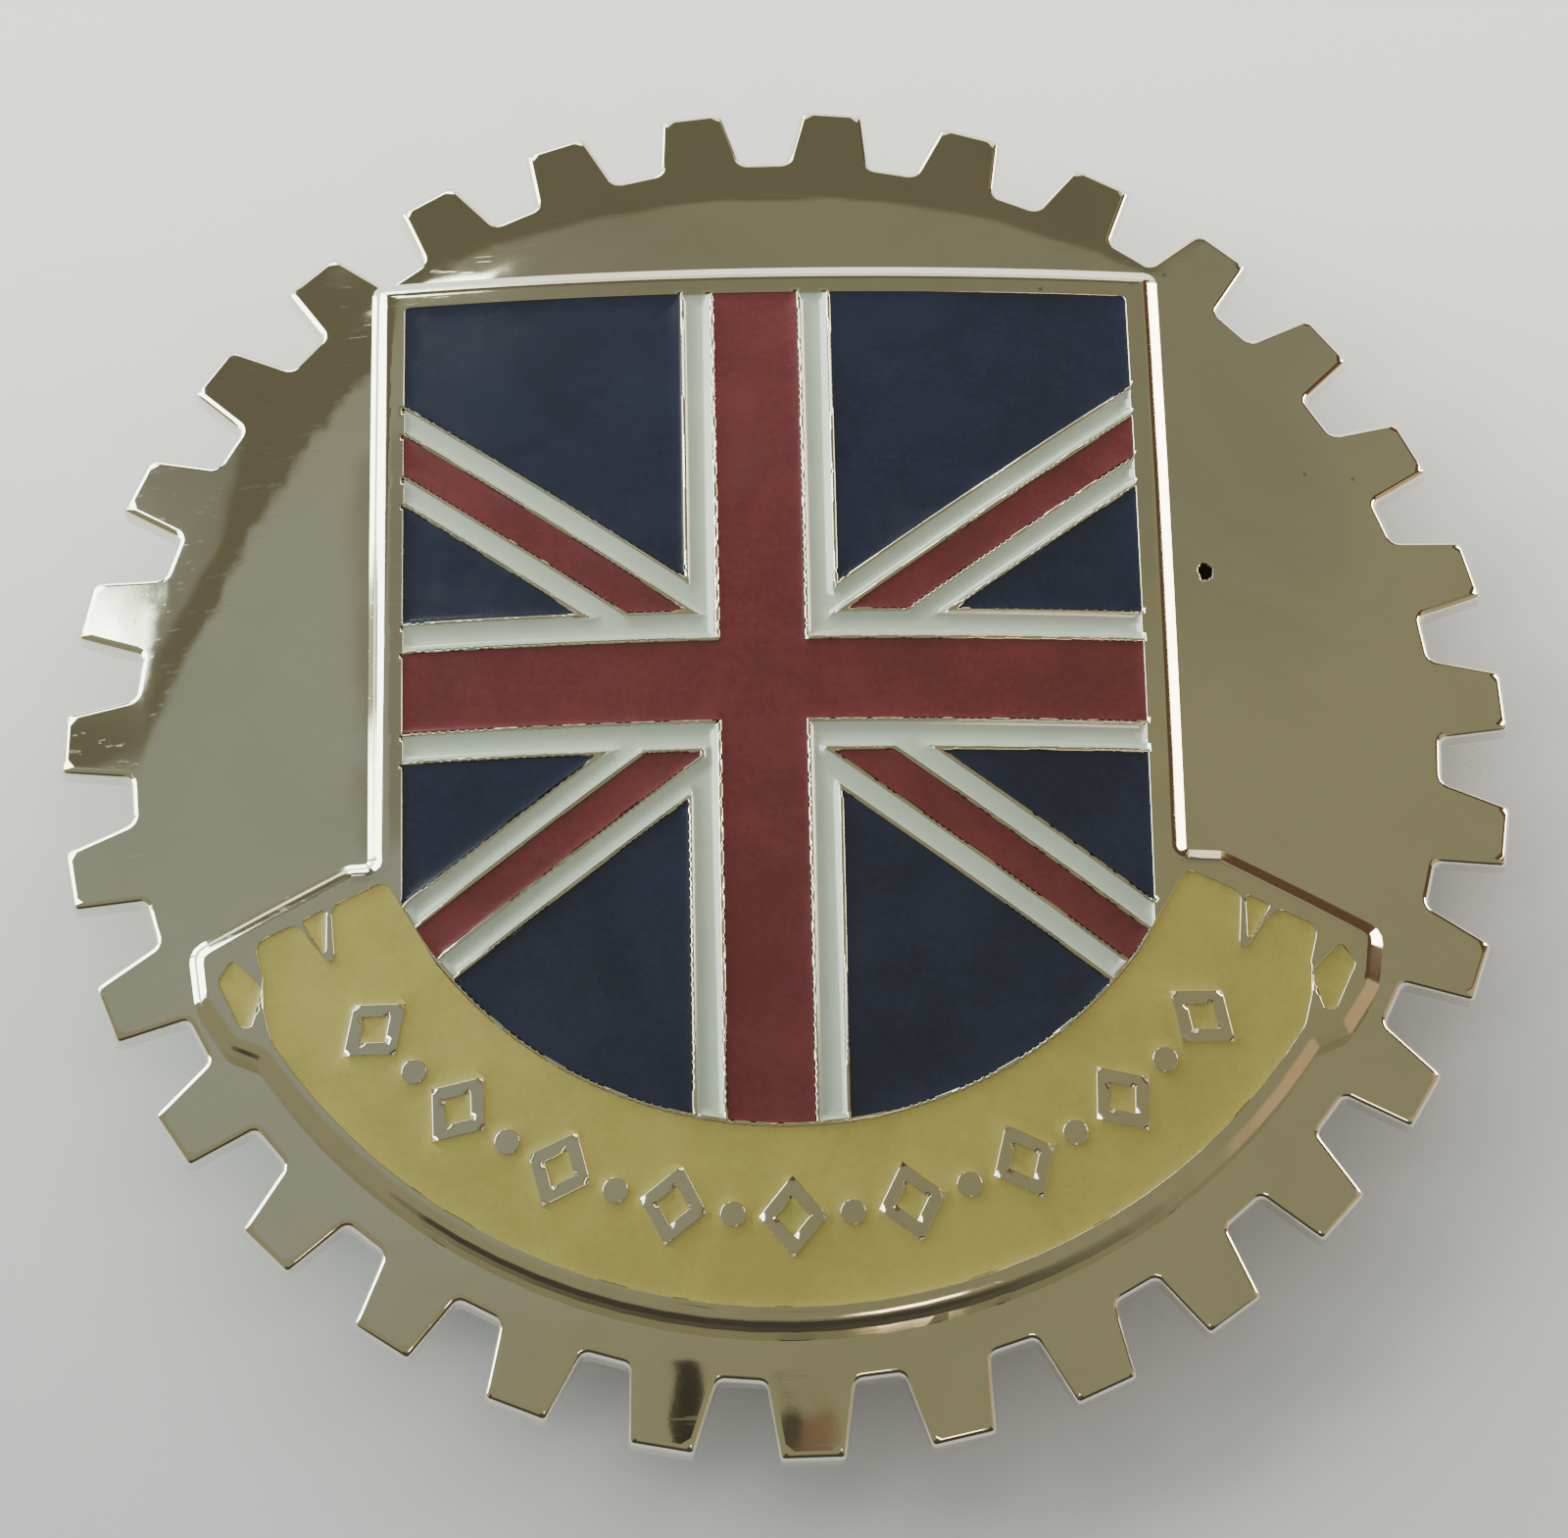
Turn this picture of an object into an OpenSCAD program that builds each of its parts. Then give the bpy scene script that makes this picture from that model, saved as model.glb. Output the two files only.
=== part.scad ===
/* [Plate] */
// Radius over the tips of the teeth
tip_r = 45; // [44:0.5:52]
// Number of teeth round the plate
tooth_n = 31; // [24:1:36]
// Depth of a tooth, tip to root
tooth_depth = 4.4; // [3:0.1:5.5]
// Width of a tooth at its tip
tip_w = 4; // [3:0.1:5]
// Width of a tooth at its root
root_w = 5.4; // [4.4:0.1:6]
// Radius on the corners of a tip
tip_round = 0.4; // [0.1:0.05:0.8]
// Radius in the corners of a gap
root_round = 0.5; // [0.1:0.05:0.9]
// Turn of the ring of teeth from a gap at the top, in degrees
tooth_turn = 0.9; // [-5:0.1:5]
// Thickness of the plate
plate_t = 1.6; // [1.2:0.1:2.4]
// Radius of the domed middle of the plate
dome_r = 180; // [150:5:260]
// Slope of the rim that carries the teeth, in degrees
rim_slope = 16.2; // [15:0.2:22]
// Width of the straight sloping rim, measured in from the tips
rim_w = 5; // [4.6:0.1:6]
// Width of the bend between the domed middle and the rim
bend_w = 3.5; // [2:0.1:5]

/* [Emblem] */
// Width of the shield over its frame
shield_w = 49.6; // [44:0.2:52]
// Height of the shield's top edge above the plate's middle
shield_top = 31.1; // [29:0.1:32]
// How far the shield's middle lies to the right of the plate's
shield_x = -0.8; // [-2:0.1:2]
// Width of the raised frame round the shield, bevel included
frame_w = 2.2; // [1.6:0.1:3]
// Width of the bevel on the outside of the frame
bevel_w = 0.75; // [0.3:0.05:1]
// Radius on the shield's two upper corners
shield_round = 0.8; // [0.2:0.1:2]
// Radius in the upper corners of the flag and under the shield's sides
flag_round = 0.2; // [0.1:0.05:0.4]
// Height of the emblem above the plate
emblem_t = 2.2; // [1.8:0.1:3]
// Thickness of the metal under the enamel
floor_t = 1.3; // [1.1:0.1:1.6]
// How far the enamel lies below the metal that holds it
enamel_low = 0.15; // [0:0.05:0.4]
// Width of the raised metal lines between the colours
wall_w = 0.4; // [0.3:0.05:0.7]

/* [Flag] */
// Middle of the upright cross from the shield's middle line
cross_x = -0.65; // [-2:0.05:2]
// Height of the middle of the cross above the plate's middle
cross_y = 1.8; // [-2:0.1:4]
// Width of the white left beside the inner tips of the slanting red arms
tip_gap = 0.7; // [0.5:0.1:1.2]
// Width of the arms of the red cross
cross_w = 5; // [3.6:0.1:6]
// Width of the white border beside the red cross
cross_border = 1.5; // [1:0.1:2]
// Width of the red arms of the slanting cross
saltire_w = 2; // [1.4:0.1:2.6]
// Width of the white borders of the slanting cross
saltire_border = 1.2; // [0.8:0.1:1.6]
// Slope of the slanting arms, in degrees
saltire_angle = 36.9; // [34:0.1:40]
// Middle of the slanting cross from that of the upright one, to the right
saltire_x = 0.3; // [-1:0.1:1]
// Middle of the slanting cross from that of the upright one, upwards
saltire_y = -0.4; // [-1:0.1:1]

/* [Scroll] */
// Radius of the scroll's inner edge, on the middle of its metal line
scroll_in = 26.1; // [25:0.1:27]
// Radius of the scroll's outer edge
scroll_out = 38.2; // [37.2:0.1:39]
// How far the scroll's middle lies to the right of the plate's
scroll_x = -0.3; // [-1:0.1:1]
// Width of the metal border along the outer edge, bevel included
scroll_rim = 1.4; // [1:0.1:2]
// Angle from the lowest point to each end of the enamelled band, in degrees
scroll_half = 67; // [62:0.2:68]
// Width of the metal beyond each end of the enamelled band
end_margin = 1.8; // [1:0.1:2.4]
// How far the curl of each end stands out beyond the scroll's outer edge
curl_out = 1.5; // [0.8:0.1:1.8]
// Length of the curl along the scroll's outer edge
curl_len = 9; // [8:0.1:9.6]
// Radius on the back of the curl
curl_round = 2.5; // [1.5:0.1:2.6]
// How far the scroll's inner corners lie out from its inner edge
end_in = 1.9; // [1.6:0.1:2.2]
// Radius on the small corners of the scroll's ends
end_round = 1.2; // [0.8:0.1:1.2]
// Depth of the hollow in each end's edge, measured in from the scroll's outer edge
hollow_in = 4; // [3.6:0.1:4.4]
// Radius of that hollow
hollow_round = 6; // [4:0.1:6]
// Room that the band's ends leave beside them for the cells of the curls
taper_w = 1.9; // [1.7:0.1:2]
// Length of the taper that makes that room
taper_len = 6.1; // [5.6:0.1:6.4]
// Radius on the round lobes at the band's ends
lobe_round = 0.7; // [0.4:0.05:0.75]
// Width of each curl's cell on either side of the band's outer edge
curl_cell = 1.1; // [0.9:0.1:1.1]
// Length of each curl's cell
curl_cell_len = 4.5; // [4:0.1:4.6]
// Radius on the corners of the small cells
cell_round = 0.12; // [0.1:0.01:0.14]
// Distance of the notches from the inner edge of the enamelled band
notch_in = 4.7; // [4:0.1:5.5]
// Width of the cell in each notch
notch_w = 1.5; // [1:0.1:2]
// Depth of the cell in each notch
notch_d = 2.6; // [1.5:0.1:3]
// Height of the raised lozenges across the band
lozenge_h = 5; // [3.5:0.1:6]
// Width of the raised lozenges along the band
lozenge_w = 4.2; // [3:0.1:5]
// Width of the metal line of a lozenge
lozenge_line = 0.9; // [0.6:0.1:1.1]
// Number of lozenges along the band
lozenge_n = 9; // [3:2:9]
// Angle of the band that the lozenges are spread over, in degrees
lozenge_span = 117; // [108:1:117]
// Diameter of the pellets between the lozenges
pellet_d = 1.6; // [1:0.1:2]

/* [Fixing] */
// Distance between the two fixing screws
screw_pitch = 30; // [24:0.5:34]
// Height of the line of screws above the plate's middle
screw_y = -1.5; // [-4:0.1:2]
// Outside diameter of a pillar
pillar_d = 7; // [6.4:0.1:8]
// Diameter of the pillar's spigot in the plate
spigot_d = 6; // [5.4:0.1:6.2]
// How far the spigot goes into the emblem
spigot_in = 0.6; // [0.4:0.1:0.7]
// How far the pillars end short of the plane of the rim
pillar_short = 0.7; // [0.2:0.1:1.5]
// Thread diameter of the screws
screw_d = 4; // [3:0.1:4]
// How far a screw ends below the end of its pillar's thread
thread_short = 0.2; // [0.1:0.1:1]
// Diameter of the screw heads
head_d = 7; // [6:0.1:8]
// Height of the screw heads
head_h = 2.6; // [2:0.1:3]
// Width of the slot in a screw head
slot_w = 1.2; // [0.8:0.1:1.4]
// Depth of the slot in a screw head
slot_d = 1.2; // [0.8:0.1:1.4]
// Turn of each slot from the line of the screws, in degrees
slot_turn = 35; // [0:5:90]
// Length of the clamp bar
bar_len = 46; // [44:0.5:56]
// Width of the clamp bar
bar_w = 12; // [10:0.5:14]
// Thickness of the clamp bar
bar_t = 1.5; // [1:0.1:2]
// Radius on the corners of the clamp bar
bar_round = 3; // [1:0.5:4.5]
// Diameter of the flat washers
washer_d = 9; // [8:0.1:10]
// Thickness of the flat washers
washer_t = 0.8; // [0.5:0.1:1]
// Diameter of the spring washers
spring_d = 7.6; // [7:0.1:8]
// Height of the spring washers
spring_t = 0.9; // [0.6:0.1:1.2]
// Gap between the ends of a spring washer
spring_cut = 0.5; // [0.3:0.1:1]

/* [Clearances] */
// Gap all round the screw thread in its tapped pillar
thread_gap = 0.05; // [0.03:0.01:0.1]
// Gap all round the screw in the spring washer
spring_gap = 0.08; // [0.05:0.01:0.2]
// Gap all round the screw in the flat washer
washer_gap = 0.15; // [0.1:0.01:0.3]
// Gap all round the screw in the clamp bar
bar_gap = 0.2; // [0.1:0.01:0.4]

/* [Hidden] */

chrome = [0.78, 0.77, 0.70];
brass = [0.83, 0.80, 0.66];
red = [0.60, 0.14, 0.14];
white = [0.86, 0.88, 0.84];
blue = [0.11, 0.13, 0.24];
cream = [0.78, 0.72, 0.42];
steel = [0.62, 0.63, 0.62];

// Heights, from the surface that the screw heads stand on
spring_z = head_h;
washer_z = spring_z + spring_t;
bar_z = washer_z + washer_t;
pillar_z = bar_z + bar_t;
rim_z = pillar_z - pillar_short;
tip_z = rim_z + plate_t / cos(rim_slope);

// The plate's upper face, from the middle out: a sphere, a bend and a cone
bend_out_r = tip_r - rim_w;
cap_r = bend_out_r - bend_w;
cap_slope = asin(cap_r / dome_r);
bend_r = bend_w / (sin(rim_slope) - sin(cap_slope));
bend_out_z = tip_z + rim_w * tan(rim_slope);
cap_z = bend_out_z + bend_r * (cos(cap_slope) - cos(rim_slope));
dome_z = cap_z - dome_r * cos(cap_slope);
bend_x = cap_r - bend_r * sin(cap_slope);
bend_z = cap_z - bend_r * cos(cap_slope);

root_r = tip_r - tooth_depth;
tall = dome_z + dome_r + emblem_t + 2;
round_fn = 48;
dome_fn = 240;
arc_n = 14;
bend_n = 3;
over = 1;

// The flag's lines: half widths from the middle of each cross
red_half = cross_w / 2;
white_in = red_half + wall_w;
white_out = white_in + cross_border;
navy_in = white_out + wall_w;
slant_red = saltire_w / 2;
slant_white_in = slant_red + wall_w;
slant_white_out = slant_white_in + saltire_border;
slant_navy = slant_white_out + wall_w;
flag_mid = [shield_x + cross_x, cross_y];
slant_mid = flag_mid + [saltire_x, saltire_y];
far = 80;

// The scroll's band: its own middle, its enamel's radii and its ends
scroll_mid = [scroll_x, 0];
flag_low_r = scroll_in - wall_w / 2;
band_in = scroll_in + wall_w / 2;
band_out = scroll_out - scroll_rim;
band_mid = (band_in + band_out) / 2;
notch_r = band_in + notch_in;
notch_tip = atan(notch_w / 2 / notch_d);
notch_lean = notch_w / 3;
end_a = scroll_half + deg_at(band_mid, end_margin);
curl_a = deg_at(scroll_out, curl_len);
taper_a = deg_at(band_out, taper_len);
curl_cell_a = deg_at(band_out, curl_cell_len);
end_lean = curl_a * 0.09;
lozenge_step = lozenge_span / lozenge_n;

// Where the shield's sides meet the scroll
shield_low = -(scroll_in + end_in) * cos(end_a + end_lean);

// Where the screws end, and the top of the emblem at a distance from the dome's middle
spigot_z = dome_z + sqrt(pow(dome_r, 2) - pow(screw_pitch / 2, 2) - pow(screw_y, 2)) + spigot_in;
screw_z = spigot_z - thread_short;
function emblem_top(d) = sqrt(pow(dome_r + emblem_t, 2) - d * d);

function polar(r, a) = r * [sin(a), cos(a)];
function down(a) = [sin(a), -cos(a)];
function deg_at(r, length) = length / r * 180 / PI;
function unit(v) = v / norm(v);
function turned(v, a) = [v[0] * cos(a) - v[1] * sin(a), v[0] * sin(a) + v[1] * cos(a)];

// Points of the arc of radius r that rounds the corner q between p and s
function corner(p, q, s, r, n = 4) = let (
        u = unit(p - q),
        v = unit(s - q),
        half = acos(u * v) / 2,
        mid = q + unit(u + v) * r / sin(half),
        start = q + u * r / tan(half) - mid,
        sweep = (180 - 2 * half) * (u[0] * v[1] - u[1] * v[0] > 0 ? -1 : 1)
    ) [for (i = [0:n]) mid + turned(start, sweep * i / n)];

// A closed outline from corners written as [x, y, radius], where a radius of 0 leaves the point as it is
function rounded(c, n = 4) = let (last = len(c) - 1) [for (i = [0:last]) let (
        p = c[i == 0 ? last : i - 1],
        s = c[i == last ? 0 : i + 1],
        q = [c[i][0], c[i][1]]
    ) each c[i][2] == 0 ? [q] : corner([p[0], p[1]], q, [s[0], s[1]], c[i][2], n)];

// The plate's outline: a ring of teeth, each wider at its root
function toothed() = let (
        step = 360 / tooth_n,
        a_tip = asin(tip_w / 2 / tip_r),
        a_root = asin(root_w / 2 / root_r)
    ) rounded([for (k = [0:tooth_n - 1]) let (a = step * (k + 0.5) - tooth_turn) each [
        concat(polar(root_r, a - a_root), root_round),
        concat(polar(tip_r, a - a_tip), tip_round),
        concat(polar(tip_r, a + a_tip), tip_round),
        concat(polar(root_r, a + a_root), root_round)]], 2);

module at_screw(side) {
    translate([side * screw_pitch / 2, screw_y, 0]) children();
}

module upright() {
    linear_extrude(tall) children();
}

// Everything below a level that lies h above the plate's domed middle
module under(h) {
    translate([0, 0, dome_z]) sphere(r = dome_r + h, $fn = dome_fn);
}

// What lies under a slanting line of the plate's section, which touches the bend at its own slope
module under_line(slope, h) {
    foot = [bend_x, bend_z] + (bend_r + h) * [sin(slope), cos(slope)];
    polygon([
        [0, -far - h],
        [0, foot[1] + foot[0] * tan(slope)],
        [far, foot[1] - (far - foot[0]) * tan(slope)],
        [far, -far - h]]);
}

// Half of the dished section that lies h above the plate's upper face: an arc, and lines round the bend
module dish(h) {
    intersection() {
        translate([0, dome_z]) circle(r = dome_r + h, $fn = dome_fn);
        intersection_for (i = [0:bend_n - 1])
            under_line(rim_slope + (cap_slope - rim_slope) * i / bend_n, h);
    }
}

module plate_section() {
    difference() {
        dish(0);
        dish(-plate_t);
    }
}

module cog_plate() {
    color(chrome) difference() {
        intersection() {
            upright() polygon(toothed());
            rotate_extrude($fn = dome_fn) plate_section();
        }
        for (side = [-1, 1]) at_screw(side) cylinder(d = spigot_d, h = tall, $fn = round_fn);
    }
}

// Outlines of the emblem
module shield_inside() {
    w = shield_w / 2 - frame_w;
    top = shield_top - frame_w;
    translate([shield_x, 0]) polygon(rounded([
        [-w, -far, 0],
        [-w, top, flag_round],
        [w, top, flag_round],
        [w, -far, 0]], 2));
}

// The part of the plane within an angle on either side of straight down, about the scroll's middle
module sector(half) {
    translate(scroll_mid) polygon([
        [0, 0],
        far * down(half),
        2 * far * down(half / 2),
        2 * far * down(-half / 2),
        far * down(-half)]);
}

module disc(r) {
    translate(scroll_mid) circle(r = r, $fn = dome_fn);
}

// Corners at one end of the scroll, from [radius, angle from straight down, rounding]
function at_end(side, corners) = [for (c = corners) concat(c[0] * down(side * c[1]), c[2])];

// The scroll's curled end: its top edge, the roll of the curl and the return to the band
function scroll_end() = [
    [scroll_in + end_in, end_a + end_lean, end_round],
    [scroll_out - hollow_in, end_a, hollow_round],
    [scroll_out + curl_out / 3, end_a - curl_a * 0.05, end_round],
    [scroll_out + curl_out, end_a - curl_a * 0.43, curl_round],
    [scroll_out + curl_out * 0.8, end_a - curl_a * 0.8, end_round],
    [scroll_out, end_a - curl_a, end_round / 2]];

function backwards(list) = [for (i = [len(list) - 1:-1:0]) list[i]];

// Points of the arc of radius r, from the scroll's left to its right
function band_arc(r, half) = [for (i = [-arc_n:arc_n]) concat(r * down(i / arc_n * half), 0)];

// The end of the enamelled band: two round lobes with a notch between them, drawn in beside the curl
function band_end() = let (
        notch_wall_w = notch_w / 2 + wall_w / cos(notch_tip),
        notch_wall_d = notch_d + wall_w / sin(notch_tip)
    ) [
        [band_in, scroll_half, lobe_round],
        [notch_r - notch_wall_w, scroll_half, lobe_round],
        [notch_r + notch_lean, scroll_half - deg_at(notch_r, notch_wall_d), lobe_round / 2],
        [notch_r + notch_wall_w, scroll_half, lobe_round],
        [band_out - taper_w, scroll_half, lobe_round],
        [band_out - taper_w * 0.8, scroll_half - taper_a * 0.37, lobe_round * 2],
        [band_out - taper_w * 0.3, scroll_half - taper_a * 0.68, lobe_round * 2],
        [band_out, scroll_half - taper_a, lobe_round * 2]];

module band_cell() {
    half = scroll_half - taper_a * 1.4;
    translate(scroll_mid) polygon(rounded(concat(
        band_arc(band_in, half),
        at_end(1, band_end()),
        backwards(band_arc(band_out, half)),
        at_end(-1, backwards(band_end()))), 3));
}

module notch_cell(side) {
    translate(scroll_mid) polygon(rounded(at_end(side, [
        [notch_r - notch_w / 2, scroll_half, cell_round],
        [notch_r + notch_lean, scroll_half - deg_at(notch_r, notch_d), cell_round],
        [notch_r + notch_w / 2, scroll_half, cell_round]]), 3));
}

module curl_cell(side) {
    translate(scroll_mid) polygon(rounded(at_end(side, [
        [band_out - curl_cell * 0.25, scroll_half - curl_cell_a * 0.06, cell_round * 2],
        [band_out + curl_cell * 0.9, scroll_half - curl_cell_a * 0.23, cell_round * 4],
        [band_out + curl_cell, scroll_half - curl_cell_a * 0.92, cell_round * 2],
        [band_out + curl_cell * 0.55, scroll_half - curl_cell_a, cell_round * 2],
        [band_out - curl_cell, scroll_half - curl_cell_a * 0.63, cell_round * 6]]), 3));
}

module emblem_outline() {
    side = shield_w / 2;
    x = shield_x - scroll_x;
    translate(scroll_mid) polygon(rounded(concat(
        at_end(1, scroll_end()),
        backwards(band_arc(scroll_out, end_a - curl_a * 1.1)),
        at_end(-1, backwards(scroll_end())),
        [[x - side, shield_low, flag_round],
            [x - side, shield_top, shield_round],
            [x + side, shield_top, shield_round],
            [x + side, shield_low, flag_round]]), 3));
}

// The flag lies inside the shield's frame and above the scroll's inner edge
module flag_field() {
    intersection() {
        shield_inside();
        union() {
            disc(flag_low_r);
            translate([-far, shield_low]) square(2 * far);
        }
    }
}

// A quarter of the flag, drawn with x and y outwards from the middle of the upright cross
module quarter(x, y) {
    intersection() {
        flag_field();
        translate(flag_mid) mirror([x < 0 ? 1 : 0, 0]) mirror([0, y < 0 ? 1 : 0]) children();
    }
}

// A strip along the slanting arm of a quarter, between two distances beside its middle line
module slant(x, y, from, to) {
    translate([x * saltire_x, y * saltire_y]) rotate(saltire_angle) translate([-far, from])
        square([2 * far, to - from]);
}

// What lies outside the given distances from the middle of the upright cross
module beyond(x, y) {
    translate([x, y]) square(far);
}

module red_cross_cell() {
    intersection() {
        flag_field();
        translate(flag_mid) union() {
            square([cross_w, 2 * far], center = true);
            square([2 * far, cross_w], center = true);
        }
    }
}

module red_slant_cell(x, y) {
    quarter(x, y) intersection() {
        slant(x, y, -slant_red, slant_red);
        beyond(white_in + tip_gap + wall_w, navy_in);
    }
}

module white_cell(x, y) {
    quarter(x, y) difference() {
        intersection() {
            beyond(white_in, white_in);
            union() {
                square([white_out, far]);
                square([far, white_out]);
                slant(x, y, -slant_white_out, slant_white_out);
            }
        }
        intersection() {
            slant(x, y, -slant_white_in, slant_white_in);
            beyond(white_in + tip_gap, white_out);
        }
    }
}

// The navy field of a quarter, beside its upright arm or beside its level arm
module navy_cell(x, y, beside_upright) {
    quarter(x, y) intersection() {
        beyond(navy_in, navy_in);
        slant(x, y, beside_upright ? slant_navy : -far, beside_upright ? far : -slant_navy);
    }
}

module flag_cells() {
    red_cross_cell();
    for (x = [-1, 1], y = [-1, 1]) {
        red_slant_cell(x, y);
        white_cell(x, y);
        navy_cell(x, y, true);
        navy_cell(x, y, false);
    }
}

// The raised ornament of the scroll: open lozenges with pellets between them
module diamond(w, h) {
    polygon([[w / 2, 0], [0, h / 2], [-w / 2, 0], [0, -h / 2]]);
}

module along_band(a) {
    translate(scroll_mid) rotate(a) translate([0, -band_mid]) children();
}

module ornament() {
    line = 2 * lozenge_line * norm([lozenge_w, lozenge_h]);
    middle = (lozenge_n - 1) / 2;
    for (i = [0:lozenge_n - 1]) along_band((i - middle) * lozenge_step) difference() {
        diamond(lozenge_w, lozenge_h);
        diamond(lozenge_w - line / lozenge_h, lozenge_h - line / lozenge_w);
    }
    for (i = [0:lozenge_n - 2]) along_band((i + 0.5 - middle) * lozenge_step)
        circle(d = pellet_d, $fn = round_fn);
}

// Bevels along the edges of the domed emblem. Each is turned about a line through the dome's middle, so it
// follows its edge at an even width.
module bevel_section(inner, outer, corner) {
    run = outer - inner;
    polygon([inner - run, outer + run, corner]);
}

// An edge at distance d from the dome's middle, along the +Z axis that it is turned about
module level_bevel(d) {
    inner = [emblem_top(d - bevel_w), d - bevel_w];
    outer = [emblem_top(d) - bevel_w, d];
    rotate_extrude($fn = dome_fn)
        bevel_section(inner, outer, [inner[0] + bevel_w, outer[1] + bevel_w]);
}

module shield_bevels() {
    intersection() {
        translate([0, 0, dome_z]) union() {
            rotate([0, 90, 0]) level_bevel(shield_w / 2 + shield_x);
            rotate([0, -90, 0]) level_bevel(shield_w / 2 - shield_x);
            rotate([-90, 0, 0]) level_bevel(shield_top);
        }
        translate([-far, shield_low + wall_w, 0]) cube(2 * far);
    }
}

module scroll_bevel() {
    inner = [scroll_out - bevel_w, emblem_top(scroll_out - bevel_w)];
    outer = [scroll_out, emblem_top(scroll_out) - bevel_w];
    intersection() {
        translate([scroll_x, 0, dome_z]) rotate_extrude($fn = dome_fn)
            bevel_section(inner, outer, [outer[0] + bevel_w, inner[1] + bevel_w]);
        upright() sector(end_a - curl_a * 1.03);
    }
}

module emblem_casting() {
    color(brass) difference() {
        intersection() {
            upright() emblem_outline();
            under(emblem_t);
        }
        under(0);
        difference() {
            upright() {
                flag_cells();
                for (side = [-1, 1]) {
                    notch_cell(side);
                    curl_cell(side);
                }
                difference() {
                    band_cell();
                    ornament();
                }
            }
            under(floor_t);
        }
        shield_bevels();
        scroll_bevel();
        for (side = [-1, 1]) at_screw(side) cylinder(d = spigot_d, h = spigot_z, $fn = round_fn);
    }
}

// Enamel fills a cell from its floor to just below the metal round it
module enamel(shade) {
    color(shade) difference() {
        intersection() {
            upright() children();
            under(emblem_t - enamel_low);
        }
        under(floor_t);
    }
}

module red_cross() {
    enamel(red) red_cross_cell();
}

module red_diagonal(x, y) {
    enamel(red) red_slant_cell(x, y);
}

module white_border(x, y) {
    enamel(white) white_cell(x, y);
}

module navy(x, y, beside_upright) {
    enamel(blue) navy_cell(x, y, beside_upright);
}

module scroll_enamel() {
    enamel(cream) difference() {
        band_cell();
        ornament();
    }
}

module notch_enamel(side) {
    enamel(cream) notch_cell(side);
}

module curl_enamel(side) {
    enamel(cream) curl_cell(side);
}

// A turned pillar: its shoulder is shaped to the back of the plate and its spigot goes into the emblem
module pillar(side) {
    chamfer = 0.4;
    color(brass) at_screw(side) difference() {
        union() {
            translate([0, 0, spigot_z - 2 * plate_t])
                cylinder(d = spigot_d, h = 2 * plate_t, $fn = round_fn);
            intersection() {
                translate([0, 0, pillar_z + chamfer]) cylinder(d = pillar_d, h = tall, $fn = round_fn);
                translate([-side * screw_pitch / 2, -screw_y, 0]) under(-plate_t);
            }
            translate([0, 0, pillar_z])
                cylinder(d1 = pillar_d - 2 * chamfer, d2 = pillar_d, h = chamfer, $fn = round_fn);
        }
        cylinder(d = screw_d + 2 * thread_gap, h = tall, $fn = round_fn);
    }
}

module clamp_bar() {
    w = bar_len / 2;
    h = bar_w / 2;
    color(steel) difference() {
        translate([0, screw_y, bar_z]) linear_extrude(bar_t) polygon(rounded([
            [-w, -h, bar_round],
            [w, -h, bar_round],
            [w, h, bar_round],
            [-w, h, bar_round]], 6));
        for (side = [-1, 1]) at_screw(side) cylinder(d = screw_d + 2 * bar_gap, h = tall, $fn = round_fn);
    }
}

module flat_washer(side) {
    color(steel) at_screw(side) translate([0, 0, washer_z]) difference() {
        cylinder(d = washer_d, h = washer_t, $fn = round_fn);
        translate([0, 0, -over]) cylinder(d = screw_d + 2 * washer_gap, h = tall, $fn = round_fn);
    }
}

module spring_washer(side) {
    color(steel) at_screw(side) translate([0, 0, spring_z]) difference() {
        cylinder(d = spring_d, h = spring_t, $fn = round_fn);
        translate([0, 0, -over]) cylinder(d = screw_d + 2 * spring_gap, h = tall, $fn = round_fn);
        translate([-spring_cut / 2, 0, -over]) cube([spring_cut, spring_d, tall]);
    }
}

module screw(side) {
    chamfer = 0.3;
    color(steel) at_screw(side) difference() {
        union() {
            cylinder(d1 = head_d - 2 * chamfer, d2 = head_d, h = chamfer, $fn = round_fn);
            translate([0, 0, chamfer]) cylinder(d = head_d, h = head_h - chamfer, $fn = round_fn);
            cylinder(d = screw_d, h = screw_z - chamfer, $fn = round_fn);
            translate([0, 0, screw_z - chamfer])
                cylinder(d1 = screw_d, d2 = screw_d - 2 * chamfer, h = chamfer, $fn = round_fn);
        }
        rotate(side * slot_turn) translate([-head_d, -slot_w / 2, -over])
            cube([2 * head_d, slot_w, slot_d + over]);
    }
}

cog_plate();
emblem_casting();
red_cross();
red_diagonal(-1, 1);  // red_diagonal_top_left
red_diagonal(1, 1);  // red_diagonal_top_right
red_diagonal(-1, -1);  // red_diagonal_bottom_left
red_diagonal(1, -1);  // red_diagonal_bottom_right
white_border(-1, 1);  // white_border_top_left
white_border(1, 1);  // white_border_top_right
white_border(-1, -1);  // white_border_bottom_left
white_border(1, -1);  // white_border_bottom_right
navy(-1, 1, true);  // navy_top_left_upper
navy(-1, 1, false);  // navy_top_left_lower
navy(1, 1, true);  // navy_top_right_upper
navy(1, 1, false);  // navy_top_right_lower
navy(-1, -1, false);  // navy_bottom_left_upper
navy(-1, -1, true);  // navy_bottom_left_lower
navy(1, -1, false);  // navy_bottom_right_upper
navy(1, -1, true);  // navy_bottom_right_lower
scroll_enamel();
notch_enamel(-1);  // notch_enamel_left
notch_enamel(1);  // notch_enamel_right
curl_enamel(-1);  // curl_enamel_left
curl_enamel(1);  // curl_enamel_right
pillar(-1);  // pillar_left
pillar(1);  // pillar_right
clamp_bar();
flat_washer(-1);  // flat_washer_left
flat_washer(1);  // flat_washer_right
spring_washer(-1);  // spring_washer_left
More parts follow.
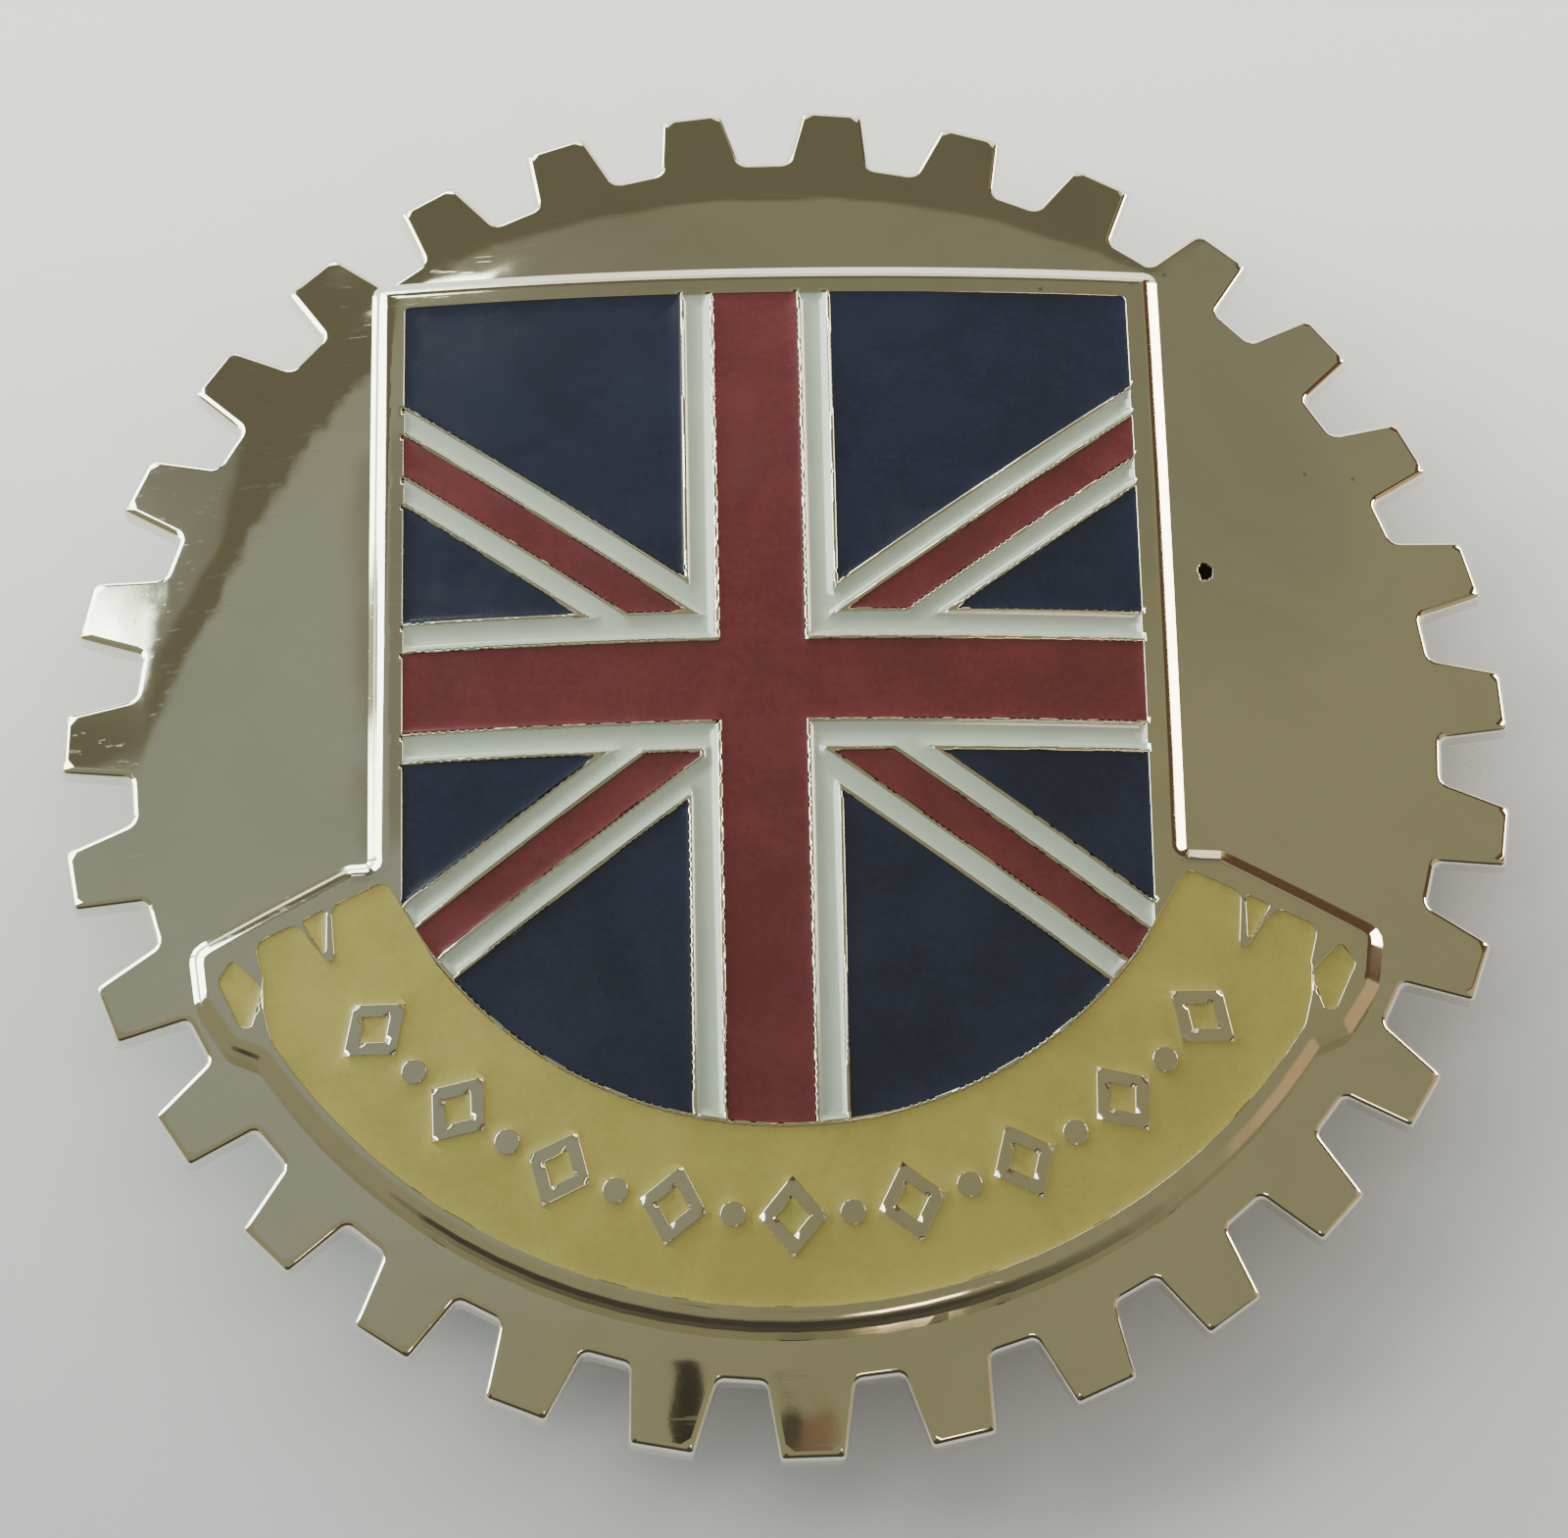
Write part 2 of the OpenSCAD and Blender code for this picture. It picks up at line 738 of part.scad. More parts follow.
spring_washer(1);  // spring_washer_right
screw(-1);  // screw_left
screw(1);  // screw_right
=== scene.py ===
"""A grille badge: a toothed, plated plate, an enamelled shield over a scroll, and the fixing behind it.

Every piece lies where the node that it replaces does."""

import functools
import math

import bpy
import numpy as np
from mathutils import Matrix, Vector
from mathutils.geometry import delaunay_2d_cdt


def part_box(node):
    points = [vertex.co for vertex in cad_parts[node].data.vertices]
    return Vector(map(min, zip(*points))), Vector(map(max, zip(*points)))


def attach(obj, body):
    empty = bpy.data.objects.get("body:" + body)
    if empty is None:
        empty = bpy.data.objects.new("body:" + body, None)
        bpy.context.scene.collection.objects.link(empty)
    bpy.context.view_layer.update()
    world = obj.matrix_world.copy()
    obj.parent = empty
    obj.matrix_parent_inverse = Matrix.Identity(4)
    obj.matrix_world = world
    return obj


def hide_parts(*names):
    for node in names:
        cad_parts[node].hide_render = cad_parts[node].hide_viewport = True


bl_info = {
    "name": "Grille Badge",
    "version": (1, 0, 0),
    "blender": (4, 5, 0),
    "location": "3D View > Sidebar > Badge",
    "description": "Builds the finished surfaces of a toothed enamel badge for a radiator grille",
    "category": "Add Mesh",
}

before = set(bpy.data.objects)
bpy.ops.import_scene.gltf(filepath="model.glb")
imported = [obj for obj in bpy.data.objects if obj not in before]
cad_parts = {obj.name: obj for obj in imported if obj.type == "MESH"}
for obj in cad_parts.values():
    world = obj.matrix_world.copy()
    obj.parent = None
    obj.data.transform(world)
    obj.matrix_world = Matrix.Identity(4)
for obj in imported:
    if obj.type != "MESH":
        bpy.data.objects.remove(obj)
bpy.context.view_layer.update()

MM = 0.001
STEP = 0.6 * MM  # longest edge of a finely divided outline
WELD = 2e-7  # points nearer to each other than this become one
ON_FACE = 4e-6  # how near a face's points lie to its sphere
SMOOTH_TURN = math.cos(math.radians(32))  # an outline that turns by less is round there
STEEPEST = 12.0  # the steepness that a rounding reaches at its edge
SIDES = {"left": -1, "right": 1}
# The enamels' finishes, each by a word in the names of its nodes
ENAMELS = {"red_": "red", "white_": "white", "navy_": "navy", "enamel": "cream"}


def length(name, text, mm, least=0):
    """A size or a coordinate, given in millimetres, as a property in metres"""
    return bpy.props.FloatProperty(
        name=name, description=text, default=mm * MM, min=least * MM, unit="LENGTH", precision=5
    )


def angle(name, text, degrees):
    """An angle given in degrees, as a property"""
    turn = math.radians(degrees)
    return bpy.props.FloatProperty(name=name, description=text, default=turn, unit="ROTATION")


def colour(name, text, default):
    """A colour, as a property"""
    return bpy.props.FloatVectorProperty(
        name=name, description=text, default=default, size=3, min=0, max=1, subtype="COLOR"
    )


class BadgeSizes(bpy.types.PropertyGroup):
    """Sizes of the badge's pieces"""

    tip_r: length("Tip radius", "Radius over the tips of the teeth", 45)
    tooth_n: bpy.props.IntProperty(name="Teeth", description="Teeth round the plate", default=31, min=24)
    tooth_depth: length("Tooth depth", "Depth of a tooth from tip to root", 4.4)
    tip_w: length("Tip width", "Width of a tooth at its tip", 4)
    root_w: length("Root width", "Width of a tooth at its root", 5.4)
    tip_round: length("Tip rounding", "Radius on the corners of a tip", 0.4)
    root_round: length("Root rounding", "Radius in the corners of a gap", 0.5)
    tooth_turn: angle("Tooth turn", "Turn of the ring of teeth from a gap at the top", 0.9)
    plate_t: length("Plate thickness", "Thickness of the plate", 1.6)
    plate_edge: length("Plate edge", "Radius on the plate's upper edge, twice the lower one", 0.5)
    dome_r: length("Dome radius", "Radius of the domed middle of the plate", 180)
    rim_slope: angle("Rim slope", "Slope of the rim that carries the teeth", 16.2)
    rim_w: length("Rim width", "Width of the straight sloping rim", 5)
    bend_w: length("Bend width", "Width of the bend between dome and rim", 3.5)
    rim_z: length("Rim height", "Height of the rim's plane above the screw heads", 5.1)
    emblem_t: length("Emblem height", "Height of the emblem above the plate", 2.2)
    floor_t: length("Cell floor", "Thickness of the metal under the enamel", 1.3)
    bevel_w: length("Bevel", "Width of the bevel round the emblem", 0.85)
    bevel_tilt: angle("Bevel tilt", "Slope of the bevel round the emblem", 31)
    ledge_at: length("Ledge", "Distance of the bevel's fine step from the edge", 0.38)
    ledge_drop: length("Ledge drop", "Depth of the bevel's fine step", 0.045)
    line_round: length("Line rounding", "Radius on the metal lines between the colours", 0.07)
    cell_depth: length("Cell depth", "Depth of the frame's enamel below the metal", 0.15)
    flood: length("Flood", "How far the red and navy enamels spread", 0.1)
    pale_flood: length("Pale flood", "How far the white and cream enamels spread", 0.04)
    enamel_low: length("Enamel edge", "Depth of the enamel's edge below the metal", 0.06)
    enamel_sag: length("Enamel sag", "Further depth of the enamel in a cell's middle", 0.14)
    enamel_reach: length("Meniscus", "Distance over which the enamel falls", 0.4)
    border_sag: length("Border sag", "Depth of the hollow along a white border", 0.33)
    border_half: length("Border half width", "Distance from a white border's edge to its middle", 0.8)
    spigot_d: length("Spigot", "Diameter of the pillars' spigots", 6)
    screw_pitch: length("Screw pitch", "Distance between the two screws", 30)
    screw_y: length("Screw height", "Height of the screws above the plate's middle", -1.5, least=-45)
    screw_d: length("Screw", "Thread diameter of the screws", 4)
    thread_pitch: length("Thread pitch", "Rise of one turn of the thread", 0.7)
    thread_depth: length("Thread depth", "Depth of the thread", 0.4)
    head_d: length("Head", "Diameter of the screw heads", 7)
    head_h: length("Head height", "Height of the screw heads", 2.6)
    slot_w: length("Slot width", "Width of the slot in a screw head", 1.2)
    slot_d: length("Slot depth", "Depth of the slot in a screw head", 1.2)
    slot_turn: angle("Slot turn", "Turn of each slot from the line of the screws", 35)
    bar_len: length("Bar length", "Length of the clamp bar", 46)
    bar_w: length("Bar width", "Width of the clamp bar", 12)
    bar_hole: length("Bar hole", "Diameter of the holes in the clamp bar", 4.4)
    washer_d: length("Washer", "Diameter of the flat washers", 9)
    washer_hole: length("Washer hole", "Hole in the flat washers", 4.3)
    spring_d: length("Spring washer", "Diameter of the spring washers", 7.6)
    spring_hole: length("Spring washer hole", "Hole in the spring washers", 4.16)
    spring_cut: length("Spring washer cut", "Gap between a spring washer's ends", 0.5)
    edge_round: length("Fixing edges", "Radius on the edges of the fixing's pieces", 0.2)


class BadgeColours(bpy.types.PropertyGroup):
    """Colours of the badge and of the place where it is pictured"""

    chrome: colour("Plate", "Plating of the toothed plate", (0.83, 0.81, 0.73))
    relief: colour("Relief", "Plating of the shield and scroll", (0.80, 0.78, 0.69))
    red: colour("Red enamel", "Enamel of the red crosses", (0.076, 0.0148, 0.0180))
    white: colour("White enamel", "Enamel of the white borders", (0.325, 0.382, 0.315))
    navy: colour("Navy enamel", "Enamel of the dark blue fields", (0.0078, 0.0108, 0.0250))
    cream: colour("Cream enamel", "Enamel of the scroll", (0.238, 0.208, 0.050))
    brass: colour("Pillars", "Plated brass of the pillars", (0.78, 0.72, 0.52))
    steel: colour("Fixing", "Zinc plated steel of the bar, washers and screws", (0.60, 0.61, 0.60))
    paper: colour("Floor", "The pale floor", (0.84, 0.85, 0.85))


def flat(v):
    """The vectors of an array, each cut or stretched to a length of one"""
    return v / np.maximum(np.linalg.norm(v, axis=-1, keepdims=True), 1e-12)


def left_of(v):
    """The vectors turned a quarter to the left"""
    return np.stack([-v[..., 1], v[..., 0]], -1)


class Dish:
    """The plate's form: its upper face is a sphere, a bend and a cone, each tangent to the next.

    At a distance d from the middle the sphere's height is mid + sqrt(r^2 - d^2), the bend's the same with
    its own circle, and the cone falls evenly. A face h above it has h added to both radii."""

    def __init__(self, s):
        self.r = s.dome_r
        self.out = s.tip_r - s.rim_w
        self.cap = self.out - s.bend_w
        self.slope = s.rim_slope
        cap_slope = math.asin(self.cap / self.r)
        self.bend_r = s.bend_w / (math.sin(s.rim_slope) - math.sin(cap_slope))
        tip_z = s.rim_z + s.plate_t / math.cos(s.rim_slope)
        self.out_z = tip_z + s.rim_w * math.tan(s.rim_slope)
        cap_z = self.out_z + self.bend_r * (math.cos(cap_slope) - math.cos(s.rim_slope))
        self.mid = cap_z - self.r * math.cos(cap_slope)
        self.bend_x = self.cap - self.bend_r * math.sin(cap_slope)
        self.bend_z = cap_z - self.bend_r * math.cos(cap_slope)

    def sphere(self, xy, h):
        """Height and slope of the sphere that lies h above the dome"""
        r2 = (xy**2).sum(-1)
        up = np.sqrt((self.r + h) ** 2 - r2)
        return self.mid + up, -xy / up[..., None]

    def face(self, xy, h):
        """Height and slope of the whole face that lies h above the plate's"""
        d = np.linalg.norm(xy, axis=-1)
        up = np.sqrt((self.r + h) ** 2 - d**2)
        run = np.clip(d - self.bend_x, 0, (self.bend_r + h) * 0.99)  # the cone starts before that
        bend = np.sqrt((self.bend_r + h) ** 2 - run**2)
        cap_end = self.cap * (self.r + h) / self.r
        cone_start = self.bend_x + (self.bend_r + h) * math.sin(self.slope)
        cone_z = self.bend_z + (self.bend_r + h) * math.cos(self.slope)
        cone = cone_z - (d - cone_start) * math.tan(self.slope)
        z = np.where(d < cap_end, self.mid + up, np.where(d < cone_start, self.bend_z + bend, cone))
        fall = np.where(d < cap_end, d / up, np.where(d < cone_start, run / bend, math.tan(self.slope)))
        return z, -fall[..., None] * flat(xy)


def rounded(corners, radii, n):
    """A closed outline with an arc of n points in each corner.

    The arc touches both edges at radius * tan(turn / 2) from the corner."""
    before = flat(corners - np.roll(corners, 1, 0))
    after = flat(np.roll(corners, -1, 0) - corners)
    turn = np.arctan2((left_of(before) * after).sum(1), (before * after).sum(1))
    reach = radii * np.tan(np.abs(turn) / 2)
    side = np.sign(turn)
    middle = corners - before * reach[:, None] + left_of(before) * (side * radii)[:, None]
    t = (turn[:, None] * np.linspace(0, 1, n))[..., None]
    spoke = -left_of(before) * side[:, None]
    turned = spoke[:, None] * np.cos(t) + left_of(spoke)[:, None] * np.sin(t)
    return (middle[:, None] + radii[:, None, None] * turned).reshape(-1, 2)


def arc(r, first, last, n):
    """Points of an arc about the origin, from one angle to another"""
    a = np.linspace(first, last, n)
    return np.stack([r * np.cos(a), r * np.sin(a)], -1)


def circle(at, r, n):
    """A closed outline with n points at even angles, anticlockwise"""
    return arc(r, 0, 2 * np.pi, n + 1)[:-1] + at


def divided(outline, step):
    """The outline with points added on its edges so that none is longer than the step"""
    ahead = np.roll(outline, -1, 0) - outline
    parts = np.maximum(np.ceil(np.linalg.norm(ahead, axis=1) / step - 1e-6), 1).astype(int)
    edge = np.repeat(np.arange(len(outline)), parts)
    first = np.repeat(np.cumsum(parts) - parts, parts)
    share = (np.arange(len(edge)) - first) / parts[edge]
    return outline[edge] + ahead[edge] * share[:, None]


def node_mesh(node):
    """Points and triangles of a node, with equal points merged"""
    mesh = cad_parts[node].data
    points = np.zeros(len(mesh.vertices) * 3, np.float32)
    mesh.vertices.foreach_get("co", points)
    points = points.reshape(-1, 3).astype(float)
    mesh.calc_loop_triangles()
    corners = np.zeros(len(mesh.loop_triangles) * 3, np.int32)
    mesh.loop_triangles.foreach_get("vertices", corners)
    first, triangles = welded(points, corners.reshape(-1, 3))
    return points[first], triangles


def welded(points, triangles):
    """Merges equal points: the numbers of those that stay, and the triangles counted over them"""
    grid = np.round(points / WELD).astype(np.int64)
    _, first, merged = np.unique(grid, axis=0, return_index=True, return_inverse=True)
    return first, merged.reshape(-1)[triangles]


def rims(node, middle_z, radius):
    """Closed outlines of the face of a node that lies on a sphere about the dome's middle.

    They are the edges that only one triangle of the face has. Each edge knows the next; doubling the step
    again and again gives every point its loop and its rank in it. The face lies on their left."""
    points, triangles = node_mesh(node)
    reach = np.linalg.norm(points - [0, 0, middle_z], axis=1)
    face = triangles[(np.abs(reach - radius) < ON_FACE)[triangles].all(1)]
    start = face.reshape(-1)
    end = np.roll(face, -1, 1).reshape(-1)
    count = len(points)
    single = ~np.isin(start * count + end, end * count + start)
    start, end = start[single], end[single]
    step = np.arange(count)
    step[start] = end
    jump, loop = step, np.minimum(np.arange(count), step)
    doublings = range(int(math.log2(len(start))) + 1)
    for _ in doublings:
        loop = np.minimum(loop, loop[jump])
        jump = jump[jump]
    jump, rank = step, np.ones(count, int)
    heads = np.unique(loop[start])
    jump[heads], rank[heads] = heads, 0
    for _ in doublings:
        rank = rank + rank[jump]
        jump = jump[jump]
    rank[heads] = count
    loops = [start[loop[start] == head] for head in heads]
    return [points[members[np.argsort(-rank[members])], :2] for members in loops]


def edges_of(outlines):
    """Start, end, and the directions away from the edge at both, for each edge of the outlines.

    The directions point to the left. They are shared where the outline is round; a corner keeps two."""
    rows = []
    for outline in outlines:
        ahead = left_of(flat(np.roll(outline, -1, 0) - outline))
        behind = np.roll(ahead, 1, 0)
        round_here = ((ahead * behind).sum(1) > SMOOTH_TURN)[:, None]
        at_start = np.where(round_here, flat(ahead + behind), ahead)
        at_end = np.where(np.roll(round_here, -1, 0), flat(ahead + np.roll(ahead, -1, 0)), ahead)
        rows.append(np.stack([outline, np.roll(outline, -1, 0), at_start, at_end], 1))
    return np.concatenate(rows)


def tiles(points, size=4 * MM):
    """The numbers of the points in each square tile, with the low and high corner of what is in it"""
    cell = np.floor(points / size).astype(int)
    which = np.unique(cell, axis=0, return_inverse=True)[1].reshape(-1)
    order = np.argsort(which, kind="stable")
    for members in np.split(order, np.flatnonzero(np.diff(which[order])) + 1):
        yield members, points[members].min(0), points[members].max(0)


def nearest(points, edges, reach=3 * MM):
    """Distance of each point from the edges, and the direction away from the nearest of them.

    Beyond the reach, where no edge matters, the distance is only known to be at least that."""
    gap, away = np.full(len(points), reach), np.zeros_like(points)
    low, high = edges[:, :2].min(1) - reach, edges[:, :2].max(1) + reach
    for members, first, last in tiles(points):
        near = edges[((low < last) & (high > first)).all(1)]
        if not len(near):
            continue
        p, a, along = points[members, None], near[:, 0], near[:, 1] - near[:, 0]
        t = np.clip(((p - a) * along).sum(2) / (along**2).sum(1), 0, 1)
        off = p - a - t[..., None] * along
        k = (off**2).sum(2).argmin(1)
        rows = np.arange(len(k))
        off, t = off[rows, k], t[rows, k][:, None]
        here = np.linalg.norm(off, axis=1)
        turned = flat(near[k, 2] * (1 - t) + near[k, 3] * t)
        at_corner = ((t < 1e-6) | (t > 1 - 1e-6))[:, 0] & (here > 1e-7)
        gap[members] = here
        away[members] = np.where(at_corner[:, None], flat(off), turned)
    return gap, away


def inside(points, edges):
    """Whether a line from each point to the right crosses the edges an odd number of times"""
    hit = np.zeros(len(points), bool)
    low, high = edges[:, :2].min(1), edges[:, :2].max(1)
    for members, first, last in tiles(points):
        beside = edges[(low[:, 1] <= last[1]) & (high[:, 1] >= first[1]) & (high[:, 0] >= first[0])]
        a, b = beside[:, 0], beside[:, 1]
        rise = np.where(b[:, 1] == a[:, 1], 1e-15, b[:, 1] - a[:, 1])
        x, y = points[members, None, 0], points[members, None, 1]
        between = (a[:, 1] > y) != (b[:, 1] > y)
        at = a[:, 0] + (y - a[:, 1]) * (b[:, 0] - a[:, 0]) / rise
        hit[members] = (between & (x < at)).sum(1) % 2 == 1
    return hit


def next_points(outlines):
    """For each point of the outlines, counted over them all, the number of the next one on its outline"""
    counts = np.cumsum([0] + [len(o) for o in outlines])
    return np.concatenate([np.roll(np.arange(a, b), -1) for a, b in zip(counts, counts[1:])])


def field(outlines, rings, grid):
    """Points and triangles over the area that the outlines enclose.

    Points lie on the outlines, at the rings' distances from them, and on a square grid of that width. Those
    of a ring or of the grid that come too near to an edge are left out."""
    edges = edges_of(outlines)
    every = np.concatenate(outlines)
    free = [every + flat(edges[:, 2]) * ring for ring in rings]
    least = [np.full(len(every), ring * 0.97) for ring in rings]
    low, high = every.min(0), every.max(0)
    x, y = np.meshgrid(np.arange(low[0], high[0], grid), np.arange(low[1], high[1], grid))
    free.append(np.stack([x.ravel(), y.ravel()], -1))
    least.append(np.full(x.size, rings[-1] + grid / 3))
    free, least = np.concatenate(free), np.concatenate(least)
    kept = inside(free, edges)
    free, least = free[kept], least[kept]
    free = free[nearest(free, edges)[0] > least]
    links = np.stack([np.arange(len(every)), next_points(outlines)], -1)
    points = np.concatenate([every, free]) / MM
    found = delaunay_2d_cdt(points.tolist(), links.tolist(), [], 0, 1e-7, False)
    points, triangles = np.array(found[0]) * MM, np.array(found[2])
    middle = points[triangles].mean(1)
    points[: len(every)] = every
    return points, triangles[inside(middle, edges)]


def sheet(points, triangles, height, slope, up=True):
    """A part of a solid: a face over the plane, with the direction that its slope gives at each point"""
    normals = flat(np.concatenate([-slope, np.ones((len(points), 1))], 1))
    xyz = np.concatenate([points, height[:, None]], 1)
    return (xyz, triangles, normals) if up else (xyz, triangles[:, ::-1], -normals)


def wall(outlines, low, high):
    """A part of a solid: upright walls from the heights low to high, facing right of the outlines"""
    edges, ahead = edges_of(outlines), next_points(outlines)
    z = np.stack([low, low[ahead], high[ahead], high], 1)[..., None]
    xyz = np.concatenate([edges[:, [0, 1, 1, 0]], z], 2).reshape(-1, 3)
    normals = np.concatenate([-edges[:, [2, 3, 3, 2]], np.zeros_like(z)], 2).reshape(-1, 3)
    quads = np.arange(len(xyz)).reshape(-1, 4)
    return xyz, np.concatenate([quads[:, :3], quads[:, [0, 2, 3]]]), normals


def tube(xyz, normals):
    """A part of a solid: a surface of two parameters, given as rows of points that close on themselves"""
    numbers = np.arange(xyz[..., 0].size).reshape(xyz.shape[:2])
    a, d = numbers[:-1], numbers[1:]
    b, c = np.roll(a, -1, 1), np.roll(d, -1, 1)
    triangles = np.stack([a, b, c, a, c, d], -1).reshape(-1, 3)
    return xyz.reshape(-1, 3), triangles, normals.reshape(-1, 3)


def piece(name, parts, finish, body, node_name):
    """Joins the parts of a solid into an object that rides on a body and replaces a node.

    Points of different parts that meet become one, and each corner of a face keeps its part's direction."""
    points = np.concatenate([p[0] for p in parts])
    normals = np.concatenate([p[2] for p in parts])
    offsets = np.cumsum([0] + [len(p[0]) for p in parts])
    triangles = np.concatenate([p[1] + n for p, n in zip(parts, offsets)])
    first, merged = welded(points, triangles)
    whole = (merged != np.roll(merged, 1, 1)).all(1)
    merged, triangles = merged[whole], triangles[whole]
    mesh = bpy.data.meshes.new(name)
    mesh.vertices.add(len(first))
    mesh.vertices.foreach_set("co", points[first].ravel().astype(np.float32))
    mesh.loops.add(merged.size)
    mesh.loops.foreach_set("vertex_index", merged.ravel().astype(np.int32))
    mesh.polygons.add(len(merged))
    mesh.polygons.foreach_set("loop_start", np.arange(0, merged.size, 3, dtype=np.int32))
    mesh.update(calc_edges=True)
    mesh.shade_smooth()
    mesh.normals_split_custom_set(flat(normals[triangles.ravel()]).tolist())
    mesh.materials.append(finished(finish))
    made = bpy.data.objects.new(name, mesh)
    bpy.context.scene.collection.objects.link(made)
    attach(made, body)
    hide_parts(node_name)


def fillet(gap, r):
    """Fall and steepness of a quarter round of radius r at a distance from the edge.

    Within r the fall is r - sqrt(r^2 - (r - gap)^2), and the steepness its rate of change."""
    run = np.clip(r - gap, 0, r * 0.9975)  # just short of upright
    up = np.sqrt(r**2 - run**2)
    return np.where(gap < r, r - up, 0), np.where(gap < r, np.minimum(run / up, STEEPEST), 0)


def bevel(gap, w, soft, steep):
    """Fall and steepness of an even bevel of width w, blended into the flat over a soft distance.

    The fall is steep * soft * ln(1 + exp((w - gap) / soft)), nearly steep * (w - gap) on the bevel."""
    t = np.clip((w - gap) / soft, -30, 30)
    return steep * soft * np.log1p(np.exp(t)), steep / (1 + np.exp(-t))


def ledge(gap, at, drop, soft):
    """Fall and steepness of a small step at a distance from the edge.

    The fall is drop / (1 + exp((gap - at) / soft))."""
    share = 1 / (1 + np.exp(np.clip((gap - at) / soft, -30, 30)))
    return drop * share, drop * share * (1 - share) / soft


def widened(outline, by):
    """The outline moved out by a distance. Each corner goes along the mean of its two edges' directions, and
    a divisor of 0.4 at least keeps a sharp one from going too far."""
    ahead = left_of(flat(np.roll(outline, -1, 0) - outline))
    behind = np.roll(ahead, 1, 0)
    both = ahead + behind
    return outline - by * both / np.maximum((1 + (ahead * behind).sum(1))[:, None], 0.4)


def slab(outlines, rings, grid, top, bottom):
    """The parts of a solid between a top and a bottom face over the same outlines.

    Both give height and slope from the points, their distance to the edge and the direction away from it."""
    points, triangles = field(outlines, rings, grid)
    gap, away = nearest(points, edges_of(outlines))
    over, under = top(points, gap, away), bottom(points, gap, away)
    count = sum(map(len, outlines))
    return [
        sheet(points, triangles, *over),
        sheet(points, triangles, *under, up=False),
        wall(outlines, under[0][:count], over[0][:count]),
    ]


def eased(face, edge, away, sign=1):
    """A face's height and slope with an edge's fall taken off, or added where the sign is -1"""
    (height, slope), (fall, steep) = face, edge
    return height - sign * fall, slope + sign * steep[:, None] * away


def level(points, z):
    """Height and slope of a level face"""
    return np.full(len(points), z), np.zeros_like(points)


def edge_rings(edge):
    """The distances of the rings of points that a rounded edge needs"""
    return [edge * 0.12, edge * 0.4, edge]


def feed(made, values):
    """Sets a shader node's sockets, each to a value or to another node's output"""
    for key, value in values.items():
        if isinstance(value, bpy.types.NodeSocket):
            value.id_data.links.new(value, made.inputs[key])
        else:
            made.inputs[key].default_value = value
    return made


def node(tree, kind, inputs=None, **settings):
    """Adds a shader node with its settings and sockets"""
    made = tree.nodes.new(kind)
    for key, value in settings.items():
        setattr(made, key, value)
    return feed(made, inputs or {})


def maths(operation, a, b=0.0, c=0.0):
    """The output of a Math node in the tree of the socket a"""
    return node(a.id_data, "ShaderNodeMath", {0: a, 1: b, 2: c}, operation=operation).outputs[0]


def added(a, b, c):
    """The output a * b + c"""
    return maths("MULTIPLY_ADD", a, b, c)


def product(a, b):
    """The output a * b"""
    return maths("MULTIPLY", a, b)


def vectors(operation, a, b=(0.0, 0.0, 0.0)):
    """The outputs of a Vector Math node"""
    return node(a.id_data, "ShaderNodeVectorMath", {0: a, 1: b}, operation=operation).outputs


def noise(at, scale, detail=3.0, rough=0.5, distortion=0.0):
    """The grey output of a Noise Texture"""
    values = {"Vector": at, "Scale": scale, "Detail": detail, "Roughness": rough, "Distortion": distortion}
    return node(at.id_data, "ShaderNodeTexNoise", values).outputs[0]


def specks(at, scale, low, high):
    """Small round marks at the points of a Voronoi Texture, soft between two distances"""
    cells = node(at.id_data, "ShaderNodeTexVoronoi", {"Vector": at, "Scale": scale})
    return ramp(cells.outputs["Distance"], low, high)


def ramp(value, low, high):
    """A smooth step from 0 where the value is low to 1 where it is high"""
    values = {"Value": value, "From Min": low, "From Max": high}
    return node(value.id_data, "ShaderNodeMapRange", values, interpolation_type="SMOOTHSTEP").outputs[0]


def stretched(at, scale, turn):
    """A point turned about Z and scaled along each axis"""
    values = {"Vector": at, "Scale": scale, "Rotation": (0.0, 0.0, turn)}
    return node(at.id_data, "ShaderNodeMapping", values).outputs[0]


def blend(factor, a, b):
    """Two colours mixed by a factor"""
    values = {"Factor": factor, 6: a, 7: b}
    return node(factor.id_data, "ShaderNodeMix", values, data_type="RGBA").outputs[2]


def bump(height, depth):
    """The normal of a face with a height of up to that depth, in metres"""
    values = {"Height": height, "Strength": 1.0, "Distance": depth}
    return node(height.id_data, "ShaderNodeBump", values).outputs[0]


def group(name, inputs, outputs):
    """A new shader node group with sockets of the names and kinds given, its inputs and its end node"""
    tree = bpy.data.node_groups.new(name, "ShaderNodeTree")
    for side, sockets in (("INPUT", inputs), ("OUTPUT", outputs)):
        for label, kind in sockets.items():
            tree.interface.new_socket(label, in_out=side, socket_type="NodeSocket" + kind)
    return tree, tree.nodes.new("NodeGroupInput").outputs, tree.nodes.new("NodeGroupOutput")


